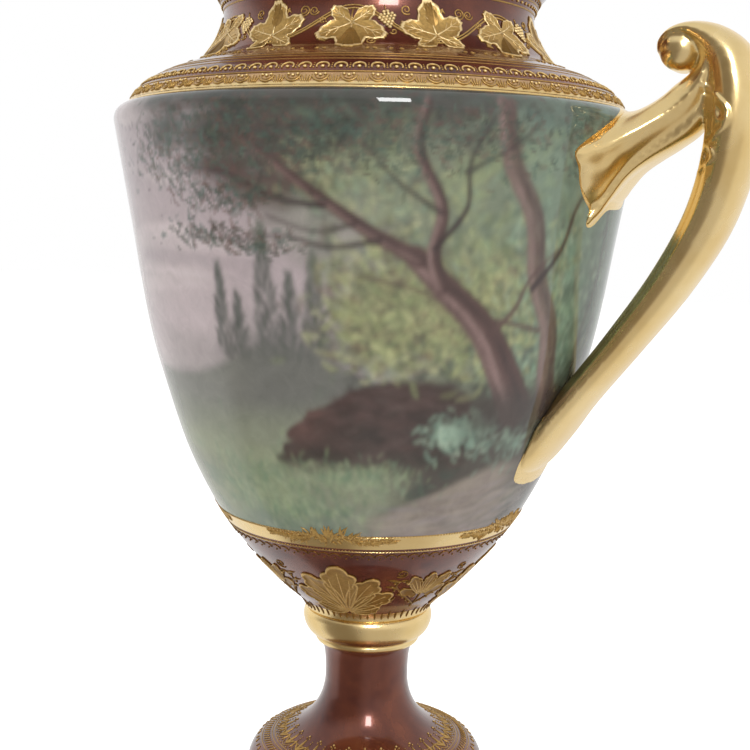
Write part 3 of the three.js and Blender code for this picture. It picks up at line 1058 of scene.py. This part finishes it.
def paint_meadow(p):
    """Meadow on the left and the floor of the wood on the right."""
    az, z = p.azimuth, p.height
    clouds, fine = p.cloud(30, 12, 7), p.cloud(7, 6, 8)
    edge = 204 + 4 * np.sin(np.radians(az * 3 + 20)) - 12 * ease(-10, 30, az)
    ground = ease(edge + 5, edge - 8, z)
    wood_floor = p.between(8, 120, 9) * ease(218, 192, z)
    p.washes(
        (ground, (112, 114, 102)),
        (ground * clouds * ease(202, 174, z), (134, 140, 112)),
        (ground * ease(0.5, 0.7, fine) * 0.5 * ease(190, 160, z), (92, 112, 92)),
        (ground * p.between(-50, -18, 10) * ease(184, 150, z) * 0.5, (126, 140, 108)),
        (ease(158, 146, z) * p.between(-46, -2, 10) * 0.6, (92, 102, 96)),
        (wood_floor * 0.92, (66, 60, 57)),
        (wood_floor * ease(0.5, 0.7, fine) * 0.6, (60, 72, 64)),
    )


def paint_rock(p):
    """A long brown rock with a rounded top, under the trees."""
    az, z, rng = p.azimuth, p.height, p.rng
    clouds, fine = p.cloud(30, 12, 7), p.cloud(7, 6, 8)
    half = 27 + 12 * (p.cloud(10, 8, 9) - 0.5)
    rise = 1 - ((az - 4 - 0.2 * (z - 192)) / half) ** 2
    crest = 178 + 36 * np.sqrt(np.clip(rise, 0, 1)) + 4 * (fine - 0.5)
    rock = ease(0, 0.22, rise) * ease(crest + 2.5, crest - 2.5, z) * ease(166, 180, z)
    under_rock = p.colour.copy()
    p.washes(
        (rock, (69, 59, 56)),
        (rock * ease(194, 210, z + 8 * fine) * 0.7, (89, 66, 62)),
        (rock * ease(-6, -18, az) * ease(180, 196, z) * 0.6, (106, 78, 72)),
        (rock * ease(8, 24, az) * 0.6, (60, 56, 52)),
        (rock * ease(0.45, 0.65, clouds) * 0.6, (50, 44, 42)),
        (rock * ease(188, 172, z) * 0.7, (58, 56, 50)),
    )
    stone = hues((100, 82, 78), (52, 46, 46), (84, 64, 60), (74, 70, 64))
    for _ in range(200):
        place, height = rng.uniform(-22, 26), rng.uniform(172, 210)
        p.dab(place, height, rng.uniform(4, 8), rng.uniform(1.1, 2.2), rng.normal() * 0.35 - 0.01 * place,
              stone[rng.integers(4)], 0.2)
    outside_rock = (1 - np.clip(rock, 0, 1))[..., None]
    p.colour = p.colour * (1 - outside_rock) + under_rock * outside_rock


def paint_path(p):
    """A pale path that rises to the right, with grass beside it."""
    az, z, rng = p.azimuth, p.height, p.rng
    clouds, fine = p.cloud(30, 12, 7), p.cloud(7, 6, 8)
    top = 152 + 22 * ease(-4, 40, az) + 5 * (clouds - 0.5)
    path = ease(top + 2.5, top - 2.5, z) * p.between(0, 44, 9)
    p.washes(
        (path * 0.95, (132, 122, 112)),
        (path * ease(0.45, 0.7, fine) * 0.5, (112, 100, 98)),
        (path * ease(147, 139, z) * 0.4, (120, 108, 112)),
    )
    gravel = hues((146, 136, 124), (112, 102, 96), (92, 88, 84), (126, 118, 120))
    for _ in range(240):
        place = rng.uniform(4, 58)
        height = rng.uniform(140, 154 + 0.3 * min(place, 40))
        p.dab(place, height, rng.uniform(5, 10), rng.uniform(0.8, 1.6), 0.2 + rng.normal() * 0.14,
              gravel[rng.integers(4)], 0.28)
    grass = hues((104, 124, 100), (128, 140, 106), (88, 108, 88), (142, 150, 122))
    tufts = (((-30, 163), (13, 9), 420), ((-20, 152), (10, 4), 200), ((-2, 170), (9, 4), 260))
    for centre, spread, count in tufts:
        p.leaves(centre, spread, count, 3.0, grass, math.pi / 2, 0.28)
    mint = hues((150, 168, 148), (126, 148, 130), (104, 126, 112))
    p.leaves((23, 190), (5, 5), 170, 3.8, mint, 2.7, 0.45)
    p.leaves((40, 184), (6, 5), 120, 3.2, mint[1:], 0.6, 0.3)


def paint_foliage(p):
    """The light leaves behind the trees."""
    pale = hues((150, 154, 108), (124, 134, 94), (168, 168, 124),
                (100, 108, 80), (112, 94, 76), (76, 80, 64))
    mint = hues((122, 148, 124), (100, 126, 106), (146, 164, 142), (74, 86, 78))
    gaps = hues((74, 76, 66), (88, 74, 66), (60, 66, 58))
    glow = hues((152, 156, 116), (120, 140, 118), (164, 162, 128))
    crowns = (((2, 234), (7, 8), 460), ((18, 240), (9, 11), 560),
              ((3, 252), (7, 9), 300), ((32, 248), (7, 14), 380))
    for centre, spread, count in crowns:
        p.leaves(centre, spread, count, 4.6, pale, 2.9, 0.34)
        p.leaves(centre, spread, count // 3, 4.0, gaps, 2.6, 0.26)
        p.leaves(centre, spread, count // 3, 3.4, pale[:3], 2.9, 0.4)
    p.leaves((-10, 298), (7, 6), 170, 3.0, glow, 2.7, 0.3)
    p.leaves((4, 286), (8, 7), 150, 3.0, glow, 2.7, 0.35)
    p.leaves((40, 250), (8, 18), 300, 3.6, mint, 1.9, 0.35)
    p.leaves((56, 240), (8, 20), 420, 3.6, mint, 1.9, 0.3)
    p.leaves((52, 222), (6, 9), 160, 3.0, mint, 1.2, 0.4)


def paint_trees(p):
    """Two leaning trees with fine branches, and the dark leaves that hang over them."""
    bark, shade, light = hues((82, 64, 61), (56, 47, 47), (130, 108, 104))
    tones = [light, bark, shade]
    # Trunks and limbs: points, width at each end, colour, light along the left side, and strength.
    # One with no light has no bark touches either.
    fine, stout = (None, 1.0), (light, 1.0)
    branches = (
        ([(60, 196), (58, 228), (62, 262), (58, 318)], 2.2, 1.4, hue(74, 72, 70), None, 0.55),
        ([(50, 200), (46, 216), (43, 236), (37, 256), (34, 280), (27, 302), (24, 324)], 6.2, 4.0,
         hue(96, 76, 72), light, 0.8),
        ([(36, 252), (43, 268), (46, 286), (52, 302)], 1.5, 0.5, shade, *fine),
        ([(40, 234), (30, 238), (20, 242), (8, 252), (-4, 257)], 1.1, 0.4, bark, *fine),
        ([(38, 200), (31, 218), (24, 236), (15, 252), (8, 265)], 8.6, 4.4, bark, *stout),
        ([(9, 264), (0, 273), (-9, 285), (-18, 298), (-27, 311)], 3.6, 1.2, bark, *stout),
        ([(-10, 284), (-20, 287), (-30, 296), (-40, 299)], 1.2, 0.4, shade, *fine),
        ([(1, 271), (-9, 268), (-19, 272), (-31, 269)], 1.0, 0.35, shade, *fine),
        ([(-4, 277), (-12, 274), (-22, 280)], 0.7, 0.3, shade, *fine),
        ([(14, 253), (12, 266), (13, 284), (8, 306), (9, 324)], 3.2, 1.6, bark, *stout),
        ([(12, 268), (18, 284), (18, 302), (22, 320)], 1.2, 0.5, shade, *fine),
        ([(13, 282), (4, 294), (-2, 308)], 0.9, 0.4, shade, *fine),
        ([(17, 298), (26, 308), (32, 318)], 0.7, 0.4, shade, *fine),
        ([(26, 232), (32, 244), (35, 256), (42, 268)], 1.2, 0.45, bark, *fine),
    )
    for points, start, end, colour, lit, strength in branches:
        p.stroke(points, start, end, colour, lit, strength)
        if lit is not None:
            p.bark(points, start, end, tones)
    roots = ease(216, 200, p.height) * ease(184, 196, p.height) * p.between(24, 60, 6)
    p.washes((roots * 0.85, (62, 56, 53)))
    p.soften()
    dark = hues((58, 62, 56), (72, 76, 66), (90, 72, 66), (66, 84, 76))
    clumps = (
        ((-44, 308), (8, 8), 420), ((-26, 312), (10, 8), 480), ((-2, 312), (10, 8), 320),
        ((-32, 288), (7, 4), 190), ((-37, 272), (6, 3), 150), ((20, 314), (12, 7), 260),
        ((-24, 268), (5, 2.5), 90), ((50, 314), (12, 8), 260),
    )
    for centre, spread, count in clumps:
        p.leaves(centre, spread, count, 2.9, dark, 2.7, 0.45)


def paint_back(p):
    """A plainer far side: meadow, water and a few round trees."""
    water = p.between(-130, -84, 8) * ease(196, 192, p.height) * ease(178, 184, p.height)
    p.washes((water * 0.8, (150, 146, 150)))
    leaf = hues((92, 104, 86), (116, 126, 98), (76, 88, 78))
    round_trees = ((-112, 228, 8), (-98, 218, 6), (160, 226, 9), (172, 216, 6), (141, 236, 8))
    for azimuth, height, size in round_trees:
        p.stroke([(azimuth, 196), (azimuth + 1, height - 6)], 1.8, 1.0, hue(84, 64, 60))
        p.leaves((azimuth, height), (size * 0.62, size), 300, 3.2, leaf, 2.6, 0.6)


# ---- handle ----

FAN_LIFT = 13.0        # the fan rises this far under the arm, so that it hangs lower at the front
FAN_DROP = 5.5         # how far its lower edge reaches below the solid's
VOXEL = 0.72           # size of the quads of the handle's skin
SMOOTHING = 20         # rounds of smoothing that even out the skin

LIMB_SECTION = [
    (1, 0), (0.985, 0.22), (0.92, 0.45), (0.8, 0.66), (0.62, 0.84), (0.36, 0.96), (0.08, 1.0),
    (-0.14, 0.97), (-0.3, 0.9), (-0.37, 0.895), (-0.42, 0.82), (-0.49, 0.815), (-0.55, 0.7),
    (-0.7, 0.62), (-0.86, 0.5), (-0.96, 0.28), (-1, 0),
]
ARM_SECTION = [
    (1, 0), (0.99, 0.2), (0.96, 0.38), (0.9, 0.53), (0.81, 0.65), (0.69, 0.71), (0.57, 0.7), (0.46, 0.68),
    (0.34, 0.73), (0.18, 0.84), (0.0, 0.92), (-0.14, 0.96), (-0.26, 0.92), (-0.38, 0.86), (-0.5, 0.81),
    (-0.62, 0.76), (-0.74, 0.68), (-0.86, 0.51), (-0.95, 0.27), (-1, 0),
]
FAN_SECTION = [
    (1, 0), (0.99, 0.2), (0.97, 0.35), (0.91, 0.48), (0.82, 0.56), (0.73, 0.56), (0.64, 0.53), (0.54, 0.59),
    (0.38, 0.73), (0.2, 0.83), (0.0, 0.89), (-0.2, 1.0), (-0.3, 0.95), (-0.4, 0.84), (-0.5, 0.72),
    (-0.61, 0.58), (-0.72, 0.44), (-0.83, 0.3), (-0.93, 0.15), (-1, 0),
]


def whole_section(half, count):
    """The half section and its mirror image as one smooth loop of points."""
    side = spline(half, np.linspace(0, 1, count))
    return np.vstack([side, (side * [1, -1])[::-1][1:-1]])


def bar(sections, outer, inner, half_widths):
    """A bar between two edge curves in the handle's plane, closed at both ends."""
    steps, count = sections.shape[:2]
    t = np.linspace(0, 1, steps)
    outer, inner = through(outer, t), through(inner, t)
    width = through([(w, 0) for w in half_widths], t)[:, 0]
    share = (1 + sections[:, :, 0]) / 2
    place = inner[:, None, :] + (outer - inner)[:, None, :] * share[:, :, None]
    across = width[:, None] * sections[:, :, 1]
    faces = grid_faces(steps, count).tolist()
    faces.append(list(range(count))[::-1])
    faces.append(list(range((steps - 1) * count, steps * count)))
    return np.stack([place[:, :, 0], across, place[:, :, 1]], 2).reshape(-1, 3), faces


def limb_curve(steps):
    """Centre line of the limb, its direction and its half thickness."""
    t = np.linspace(0, 1, steps)
    centre = [station[:2] for station in LIMB]
    ahead, behind = through(centre, t + 1e-4), through(centre, t - 1e-4)
    along = (ahead - behind) / np.linalg.norm(ahead - behind, axis=1)[:, None]
    return through(centre, t), along, through([(station[2], 0) for station in LIMB], t)[:, :1]


def limb_bar():
    centre, along, half = limb_curve(len(LIMB))
    out = np.stack([along[:, 1], -along[:, 0]], 1) * half
    sections = np.repeat(whole_section(LIMB_SECTION, 70)[None], 320, 0)
    return bar(sections, centre + out, centre - out, [station[3] for station in LIMB])


def arm_bar():
    """The arm, whose section opens into a fan where it meets the vase."""
    under, top, widths, opened = zip(*ARM)
    share = through([(value, 0) for value in opened], np.linspace(0, 1, 200))[:, :1, None]
    plain, fan = whole_section(ARM_SECTION, 80)[None], whole_section(FAN_SECTION, 80)[None]
    sections = plain * (1 - share) + fan * share
    vertices, faces = bar(sections, under, top, widths)
    low = (((1 + sections[:, :, 0]) / 2) ** 1.5 * share[:, :, 0]).ravel()
    vertices[:, 2] += low * (FAN_LIFT * ease(-26, -2, vertices[:, 1]) - FAN_DROP)
    return vertices, faces


def eye_ball():
    """The round eye of the scroll: a ball at either side of the handle, joined by a roll."""
    rise = np.linspace(-90, 90, 61)
    profile = np.stack([np.cos(np.radians(rise)), np.sin(np.radians(rise))], 1) * EYE_RADIUS
    profile[:, 1] += np.sign(rise) * (EYE_HALF_WIDTH - EYE_RADIUS)
    vertices, faces = revolve(profile, np.arange(0, 360, 5))
    return vertices[:, [0, 2, 1]] * [1, -1, 1] + [EYE_OUT, 0, EYE_HEIGHT], faces


def give_one_skin(piece):
    """Makes the overlapping bodies of a piece one closed skin of even quads."""
    modifier = piece.modifiers.new("skin", "REMESH")
    modifier.mode = "VOXEL"
    modifier.voxel_size = VOXEL * MM
    modifier.adaptivity = 0
    depsgraph = bpy.context.evaluated_depsgraph_get()
    mesh = bpy.data.meshes.new_from_object(piece.evaluated_get(depsgraph))
    piece.modifiers.clear()
    piece.data = mesh


def mesh_places(collection, key):
    """Places of a mesh's vertices or faces, in millimetres."""
    flat = np.empty(len(collection) * 3)
    collection.foreach_get(key, flat)
    return flat.reshape(-1, 3) / MM


def relaxed(mesh, points):
    """Taubin smoothing evens out the skin without shrinking it, and a few plain rounds end it."""
    pairs = np.empty(len(mesh.edges) * 2, int)
    mesh.edges.foreach_get("vertices", pairs)
    a, b = pairs.reshape(-1, 2).T
    degree = np.bincount(np.concatenate([a, b]), minlength=len(points))[:, None]
    for k in range(2 * SMOOTHING + 9):
        total = np.zeros_like(points)
        np.add.at(total, a, points[b])
        np.add.at(total, b, points[a])
        step = 0.5 if k % 2 == 0 or k > 2 * SMOOTHING else -0.52
        points = points + step * (total / degree - points)
    return points


def seated_on_vase(points):
    """Points that would be inside the porcelain come out to its surface."""
    radius = np.hypot(points[:, 0], points[:, 1])
    beside_vase = (points[:, 2] > 100) & (points[:, 2] < SHOULDER_LINE[1])
    surface = OUTSIDE.radius_at(points[:, 2]) + 0.05
    grow = np.where(beside_vase & (radius < surface), surface / radius, 1.0)
    return points * np.stack([grow, grow, np.ones_like(grow)], 1)


# Leaf on the side of the limb: height and how far its wavy edge reaches across, from -1 to 1.
LEAF_EDGE = [
    (299, -1.1), (301.5, -0.66), (304, -0.36), (306.5, -0.14), (309, -0.24), (312, -0.45), (315, -0.28),
    (318.5, 0.02), (322.5, 0.16), (327, 0.08), (331, -0.2), (334, -0.52), (337, -0.8), (340, -1.1),
]
RIBS = (-0.62, -0.30)  # two fine ribs run down the side of the limb from the leaf


def limb_place(points):
    """How far each point lies across the limb, from -1 at its inner edge to 1 at its outer edge."""
    centre, along, half = limb_curve(400)
    rising = centre[:, 1] < 352
    level = half[rising, 0] / along[rising, 1]
    middle = np.interp(points[:, 2], centre[rising, 1], centre[rising, 0])
    return (points[:, 0] - middle) / np.interp(points[:, 2], centre[rising, 1], level)


def limb_relief(across, height):
    """How far the leaf and the ribs stand out from the sides of the limb, in mm."""
    edge_height, edge_reach = spline(LEAF_EDGE, np.linspace(0, 1, 300)).T
    beyond = across - np.interp(height, edge_height, edge_reach)
    leaf = ease(0.04, -0.16, beyond)
    rim = np.exp(-((beyond + 0.13) / 0.12) ** 2)
    hollow = np.exp(-((beyond + 0.40) / 0.18) ** 2) * (0.6 + 0.4 * np.sin(height * 0.7))
    folds = np.sin(height * 1.0 + across * 5) * 0.16
    on_leaf = ease(298, 303, height) * ease(341, 336, height)
    raised = on_leaf * (0.8 * leaf + 0.5 * rim + leaf * (folds - 1.5 * hollow)) * ease(-1.1, -0.86, across)
    for place in RIBS:
        rib = np.exp(-((across - place) / 0.11) ** 2)
        raised += 0.7 * rib * ease(301, 295, height) * ease(166, 180, height)
    return raised


def join_rim(points):
    """A rounded lip where the handle meets the vase, with small knobs along the fan."""
    away = np.hypot(points[:, 0], points[:, 1]) - OUTSIDE.radius_at(points[:, 2])
    fan = ease(250, 270, points[:, 2])
    knobs = 0.25 * fan * np.sin(points[:, 2] * 1.05 + 1)
    return (0.45 + 0.75 * fan + knobs) * np.exp(-((away - 0.8) / (0.9 + 0.9 * fan)) ** 2)


def handle_gilt(gold):
    piece = make_object("handle_gilt", *joined(limb_bar(), arm_bar(), eye_ball()))
    give_one_skin(piece)
    points = relaxed(piece.data, mesh_places(piece.data.vertices, "co"))
    height = points[:, 2]
    side = np.where(points[:, 1] < 0, -1.0, 1.0)
    width = np.interp(height, [160, 300, 350], [19, 18, 17])
    across = limb_place(points)
    flank = ease(0.30, 0.55, np.abs(points[:, 1]) / width) * (across < 1.1) * (height < 342)
    points[:, 1] += side * limb_relief(across, height) * flank
    points[:, 1] += side * join_rim(points)
    points = seated_on_vase(points)
    points[:, 0] = np.minimum(points[:, 0], CAD_BOX[1][0] / MM - 0.02)
    piece.data.vertices.foreach_set("co", (points * MM).ravel())
    shade_smooth(piece.data)
    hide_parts("handle")
    finish_piece(piece, [gold])


# ---- vase and foot ----

# Columns of the painted belly, closer together on the side with the picture.
BELLY_AZIMUTHS = np.concatenate([
    np.arange(-86, -52, 0.62), np.arange(-52, 52, 0.42), np.arange(52, 86, 0.62), np.arange(86, 274, 2.2),
])
BELLY_ROWS = 184
COARSE_AZIMUTHS = np.arange(0, 360, 2.4) - 86      # columns of the rest of the vase
VASE_FINISHES = ["landscape", "burgundy", "gold", "porcelain", "bronze"]


def hollow_points():
    """The inside of the vase, from the lip down to the middle of its floor."""
    run = np.linspace(OUTSIDE.run_at(104), OUTSIDE.length - 14, 48)
    radius, height = OUTSIDE.at(run)
    across, up = OUTSIDE.normal(run)
    inside = np.stack([radius - across * WALL, height - up * WALL], 1)[::-1]
    lip_top = (LIP_RADIUS - LIP_ROUND, VASE_TOP)
    lip = bezier(lip_top, (LIP_RADIUS - 5, VASE_TOP), (84.5, 397.5), inside[0], 8)
    floor = bezier(inside[-1], (36, 99.5), (30, 97.6), (FLOOR_RADIUS, PEDESTAL_TOP + FLOOR + 1), 8)
    return np.vstack([lip[1:], inside[1:], floor[1:]])


def zip_rings(low, high, low_start, high_start):
    """Triangles between two rings of vertices with different azimuths, both sorted."""
    faces = []
    i = j = 0
    n, m = len(low), len(high)
    low, high = [*low, low[0] + 360], [*high, high[0] + 360]
    while i < n or j < m:
        a, b = low_start + i % n, high_start + j % m
        if j == m or i < n and low[i + 1] <= high[j + 1]:
            faces.append([a, low_start + (i + 1) % n, b])
            i += 1
        else:
            faces.append([a, high_start + (j + 1) % m, b])
            j += 1
    return faces


def banded_body(bands):
    """A closed turned body. Each band is its profile points and its own azimuths."""
    vertices, faces, rings = [], [], []
    count = 0
    for points, azimuths in bands:
        angle = np.radians(azimuths)
        for radius, height in points:
            rings.append((count, azimuths))
            level = np.full(len(angle), height)
            vertices.append(np.column_stack([radius * np.cos(angle), radius * np.sin(angle), level]))
            count += len(angle)
    for (start, low), (after, high) in zip(rings, rings[1:]):
        if len(low) == len(high):
            faces.extend((grid_faces(2, len(low)) + start).tolist())
        else:
            faces.extend(zip_rings(low, high, start, after))
    faces.append([rings[0][0] + j for j in range(len(rings[0][1]))][::-1])
    faces.append([rings[-1][0] + j for j in range(len(rings[-1][1]))])
    return np.vstack(vertices), faces


def vase_finish(centres):
    """Which finish each face of the vase has, by its place in VASE_FINISHES."""
    height = centres[:, 2]
    radius = np.hypot(centres[:, 0], centres[:, 1])
    outside = radius > np.interp(height, OUTSIDE.points[:, 1], OUTSIDE.points[:, 0]) - 2.5
    index = np.full(len(height), VASE_FINISHES.index("porcelain"))
    for finish, low, high in (
        ("burgundy", 0, BAND_LOW), ("burgundy", FILLET_HIGH, LIP_GILT_LOW),
        ("bronze", FILLET_HIGH, BRONZE_TOP), ("gold", 0, COLLAR_GILT_TOP), ("gold", BAND_LOW, BAND_HIGH),
        ("gold", FILLET_LOW, FILLET_HIGH), ("landscape", BAND_HIGH, FILLET_LOW),
    ):
        index[outside & (height > low) & (height <= high)] = VASE_FINISHES.index(finish)
    index[(height >= LIP_GILT_LOW) & (radius > 80)] = VASE_FINISHES.index("gold")
    return index


def vase_porcelain(finishes):
    runs = np.linspace(OUTSIDE.run_at(LOW_PAINT), OUTSIDE.run_at(HIGH_PAINT), BELLY_ROWS)
    belly = np.stack(OUTSIDE.at(runs), 1)
    low = OUTSIDE.points[OUTSIDE.runs < runs[0] - 0.4][::5]
    low = np.vstack([[OUTSIDE.points[0] - [2, 0]], low])
    high = OUTSIDE.points[OUTSIDE.runs > runs[-1] + 0.4][::3]
    coarse = COARSE_AZIMUTHS + FRONT
    vertices, faces = banded_body([
        (low, coarse), (belly, BELLY_AZIMUTHS + FRONT), (np.vstack([high, hollow_points()]), coarse),
    ])
    piece = make_object("vase_porcelain", vertices, faces)
    centres = mesh_places(piece.data.polygons, "center")
    piece.data.polygons.foreach_set("material_index", vase_finish(centres))
    azimuths = (BELLY_AZIMUTHS + 180) % 360 - 180
    order = np.argsort(azimuths)
    paint = np.empty((BELLY_ROWS, len(azimuths), 3))
    paint[:, order] = paint_landscape(azimuths[order], belly[:, 1], belly[:, 0])
    colours = np.ones((len(vertices), 4))
    first = len(low) * len(coarse)
    colours[first:first + BELLY_ROWS * len(azimuths), :3] = paint.reshape(-1, 3)
    layer = piece.data.color_attributes.new("paint", "FLOAT_COLOR", "POINT")
    layer.data.foreach_set("color", colours.ravel())
    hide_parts("vase_body")
    finish_piece(piece, [finishes[name] for name in VASE_FINISHES])


def foot_lustre(burgundy):
    profile = np.vstack([[(0, 0)], FOOT.points, [(0, STEM_TOP)]])
    piece = make_object("foot_lustre", *revolve(profile, np.arange(0, 360, 2)))
    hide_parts("pedestal_foot")
    finish_piece(piece, [burgundy])


def collar_gilt(gold):
    profile = np.vstack([[(0, COLLAR_FOOT)], collar_points(), [(0, PEDESTAL_TOP)]])
    finish_piece(make_object("collar_gilt", *revolve(profile, np.arange(0, 360, 2))), [gold])


# ---- camera, light and floor ----

CAMERA_DISTANCE = 0.6      # metres from the urn's axis
CAMERA_HEIGHT = 0.279
PITCH, ROLL, YAW = 0.1255, 0.0195, 0.0023      # looking down, tilted and turned aside, in radians
LENS = 59.04
TARGET_HEIGHT = 0.25       # where the soft boxes look
FLOOR_HALF = 4.0

# What stands round the urn, by azimuth from the camera's side in degrees, and how bright it is:
# white tent walls and a dimmer left wall, and the table with its dimmer left half.
WALLS = [(-180, 1.0), (-112, 0.95), (-98, 0.5), (-80, 0.2), (-28, 0.2), (-6, 0.5), (30, 0.74), (70, 0.8),
         (104, 0.84), (135, 0.88), (168, 1.0), (180, 1.0)]
TABLE = [(-180, 0.95), (-84, 0.85), (-72, 0.2), (-22, 0.2), (0, 0.5), (50, 0.55), (74, 0.75), (180, 0.95)]

# Soft boxes: name, azimuth from the front, distance, height, width, power, height of the box, in
# metres and watts, and whether the urn mirrors it.
SOFT_BOXES = [
    ("key", 7, 1.5, 1.15, 0.36, 13, 0.6, True), ("left", -75, 1.2, 0.7, 0.7, 7, 1.1, False),
    ("right", 75, 1.2, 0.7, 0.7, 5, 1.1, False), ("top", 20, 0.25, 1.5, 0.6, 8, 0.6, False),
]


def add_camera():
    turn = math.radians(CAMERA_AZIMUTH)
    place = Vector((math.sin(turn), -math.cos(turn), 0)) * CAMERA_DISTANCE + Vector((0, 0, CAMERA_HEIGHT))
    data = bpy.data.cameras.new("camera")
    data.lens = LENS
    data.sensor_width = 36.0
    data.clip_start = 0.01
    camera = place_in_scene("camera", data)
    level = Matrix.Rotation(turn - YAW, 4, "Z") @ Matrix.Rotation(math.pi / 2 - PITCH, 4, "X")
    camera.matrix_world = Matrix.Translation(place) @ level @ Matrix.Rotation(ROLL, 4, "Z")
    bpy.context.scene.camera = camera


def brightness_round(tree, vector, stops):
    """Brightness by the azimuth of a vector, and the vector's height."""
    inputs = {"Angle": math.radians(-FRONT), "Vector": vector}
    turned = add_node(tree, "ShaderNodeVectorRotate", inputs, rotation_type="Z_AXIS").outputs["Vector"]
    split = add_node(tree, "ShaderNodeSeparateXYZ", {"Vector": turned}).outputs
    angle = add_node(tree, "ShaderNodeMath", {0: split["Y"], 1: split["X"]}, operation="ARCTAN2")
    inputs = {0: angle.outputs["Value"], 1: 1 / (2 * math.pi), 2: 0.5}
    share = add_node(tree, "ShaderNodeMath", inputs, operation="MULTIPLY_ADD").outputs["Value"]
    tones = [(azimuth / 360 + 0.5, (bright ** 0.92, bright, bright ** 1.1)) for azimuth, bright in stops]
    return ramp(tree, share, tones), split["Z"]


def either(tree, ray, first, second):
    """The second shader for one kind of ray, and the first for all others."""
    fac = add_node(tree, "ShaderNodeLightPath").outputs[ray]
    return add_node(tree, "ShaderNodeMixShader", {"Fac": fac, 1: first, 2: second}).outputs["Shader"]


def add_world():
    """A white tent with a dimmer side. The camera itself sees plain white behind the urn."""
    world = bpy.data.worlds.new("tent")
    bpy.context.scene.world = world
    world.use_nodes = True
    tree = world.node_tree
    tree.nodes.clear()
    place = add_node(tree, "ShaderNodeTexCoord").outputs["Generated"]
    walls, rise = brightness_round(tree, place, WALLS)
    tent = mix(tree, "MIX", map_range(tree, rise, 0.45, 0.75), walls, (0.75, 0.75, 0.75, 1))
    first, second = (add_node(tree, "ShaderNodeBackground", {"Color": colour}).outputs["Background"]
                     for colour in (tent, (1, 1, 1, 1)))
    shader = either(tree, "Is Camera Ray", first, second)
    add_node(tree, "ShaderNodeOutputWorld", {"Surface": shader})


def add_floor():
    """A pale floor, whose reflection in the urn darkens on the left."""
    mesh = bpy.data.meshes.new("floor")
    corners = [(x * FLOOR_HALF, y * FLOOR_HALF, 0) for x, y in ((-1, -1), (1, -1), (1, 1), (-1, 1))]
    mesh.from_pydata(corners, [], [(0, 1, 2, 3)])
    material, tree = new_material("pale_floor")
    pale = principled(tree, {
        "Base Color": ramp(tree, noise(tree, 3, 2), [(0.3, (0.90,) * 3), (0.7, (0.93,) * 3)]),
        "Roughness": 0.7,
        "Specular IOR Level": 0.0,
        "Emission Color": (1, 1, 1, 1),
        "Emission Strength": 0.42,
    })
    place = add_node(tree, "ShaderNodeTexCoord").outputs["Object"]
    mirrored = brightness_round(tree, place, TABLE)[0]
    glow = add_node(tree, "ShaderNodeEmission", {"Color": mirrored}).outputs["Emission"]
    set_surface(tree, either(tree, "Is Glossy Ray", pale, glow))
    mesh.materials.append(material)
    place_in_scene("floor", mesh)


def add_soft_box(name, azimuth, distance, height, wide, power, tall, mirrored):
    """A rectangle of light that looks at the middle of the urn."""
    data = bpy.data.lights.new(name, "AREA")
    data.shape = "RECTANGLE"
    data.size = wide
    data.size_y = tall
    data.energy = power
    lamp = place_in_scene(name, data)
    angle = math.radians(FRONT + azimuth)
    lamp.location = (math.cos(angle) * distance, math.sin(angle) * distance, height)
    ahead = Vector((0, 0, TARGET_HEIGHT)) - lamp.location
    lamp.rotation_euler = ahead.to_track_quat("-Z", "Y").to_euler()
    lamp.visible_glossy = mirrored


def add_studio():
    add_camera()
    add_world()
    add_floor()
    for soft_box in SOFT_BOXES:
        add_soft_box(*soft_box)
    view = bpy.context.scene.view_settings
    view.view_transform = "Standard"
    view.look = "None"


# ---- assembly ----

add_studio()

gold = burnished_gold()
matte = relief_gold("matte_gold", (0.39, 0.23, 0.064), (0.56, 0.36, 0.115), (0.94, 0.73, 0.38))
# A darker copy of the matte relief gold for the bowl's ornament: painted shade, because that relief faces
# down, away from the light.
painted_shade_gold = relief_gold("painted_shade_gold", (0.19, 0.09, 0.012), (0.27, 0.14, 0.025), (0.60, 0.40, 0.15))
burgundy = lustre("burgundy_lustre", (0.056, 0.0095, 0.007), (0.185, 0.050, 0.021), 30)
bronze = lustre("bronze_lustre", (0.30, 0.17, 0.07), (0.46, 0.28, 0.12), 60)

vase_porcelain({
    "landscape": painted_landscape(), "burgundy": burgundy, "gold": gold, "porcelain": white_porcelain(),
    "bronze": bronze,
})
foot_lustre(burgundy)
collar_gilt(gold)
handle_gilt(gold)
neck_vine(matte)
neck_beading(matte)
shoulder_bands(matte)
polished_fillets(gold)
waist_sprays(matte)
bowl_leaves(painted_shade_gold)
foot_pendants(matte)
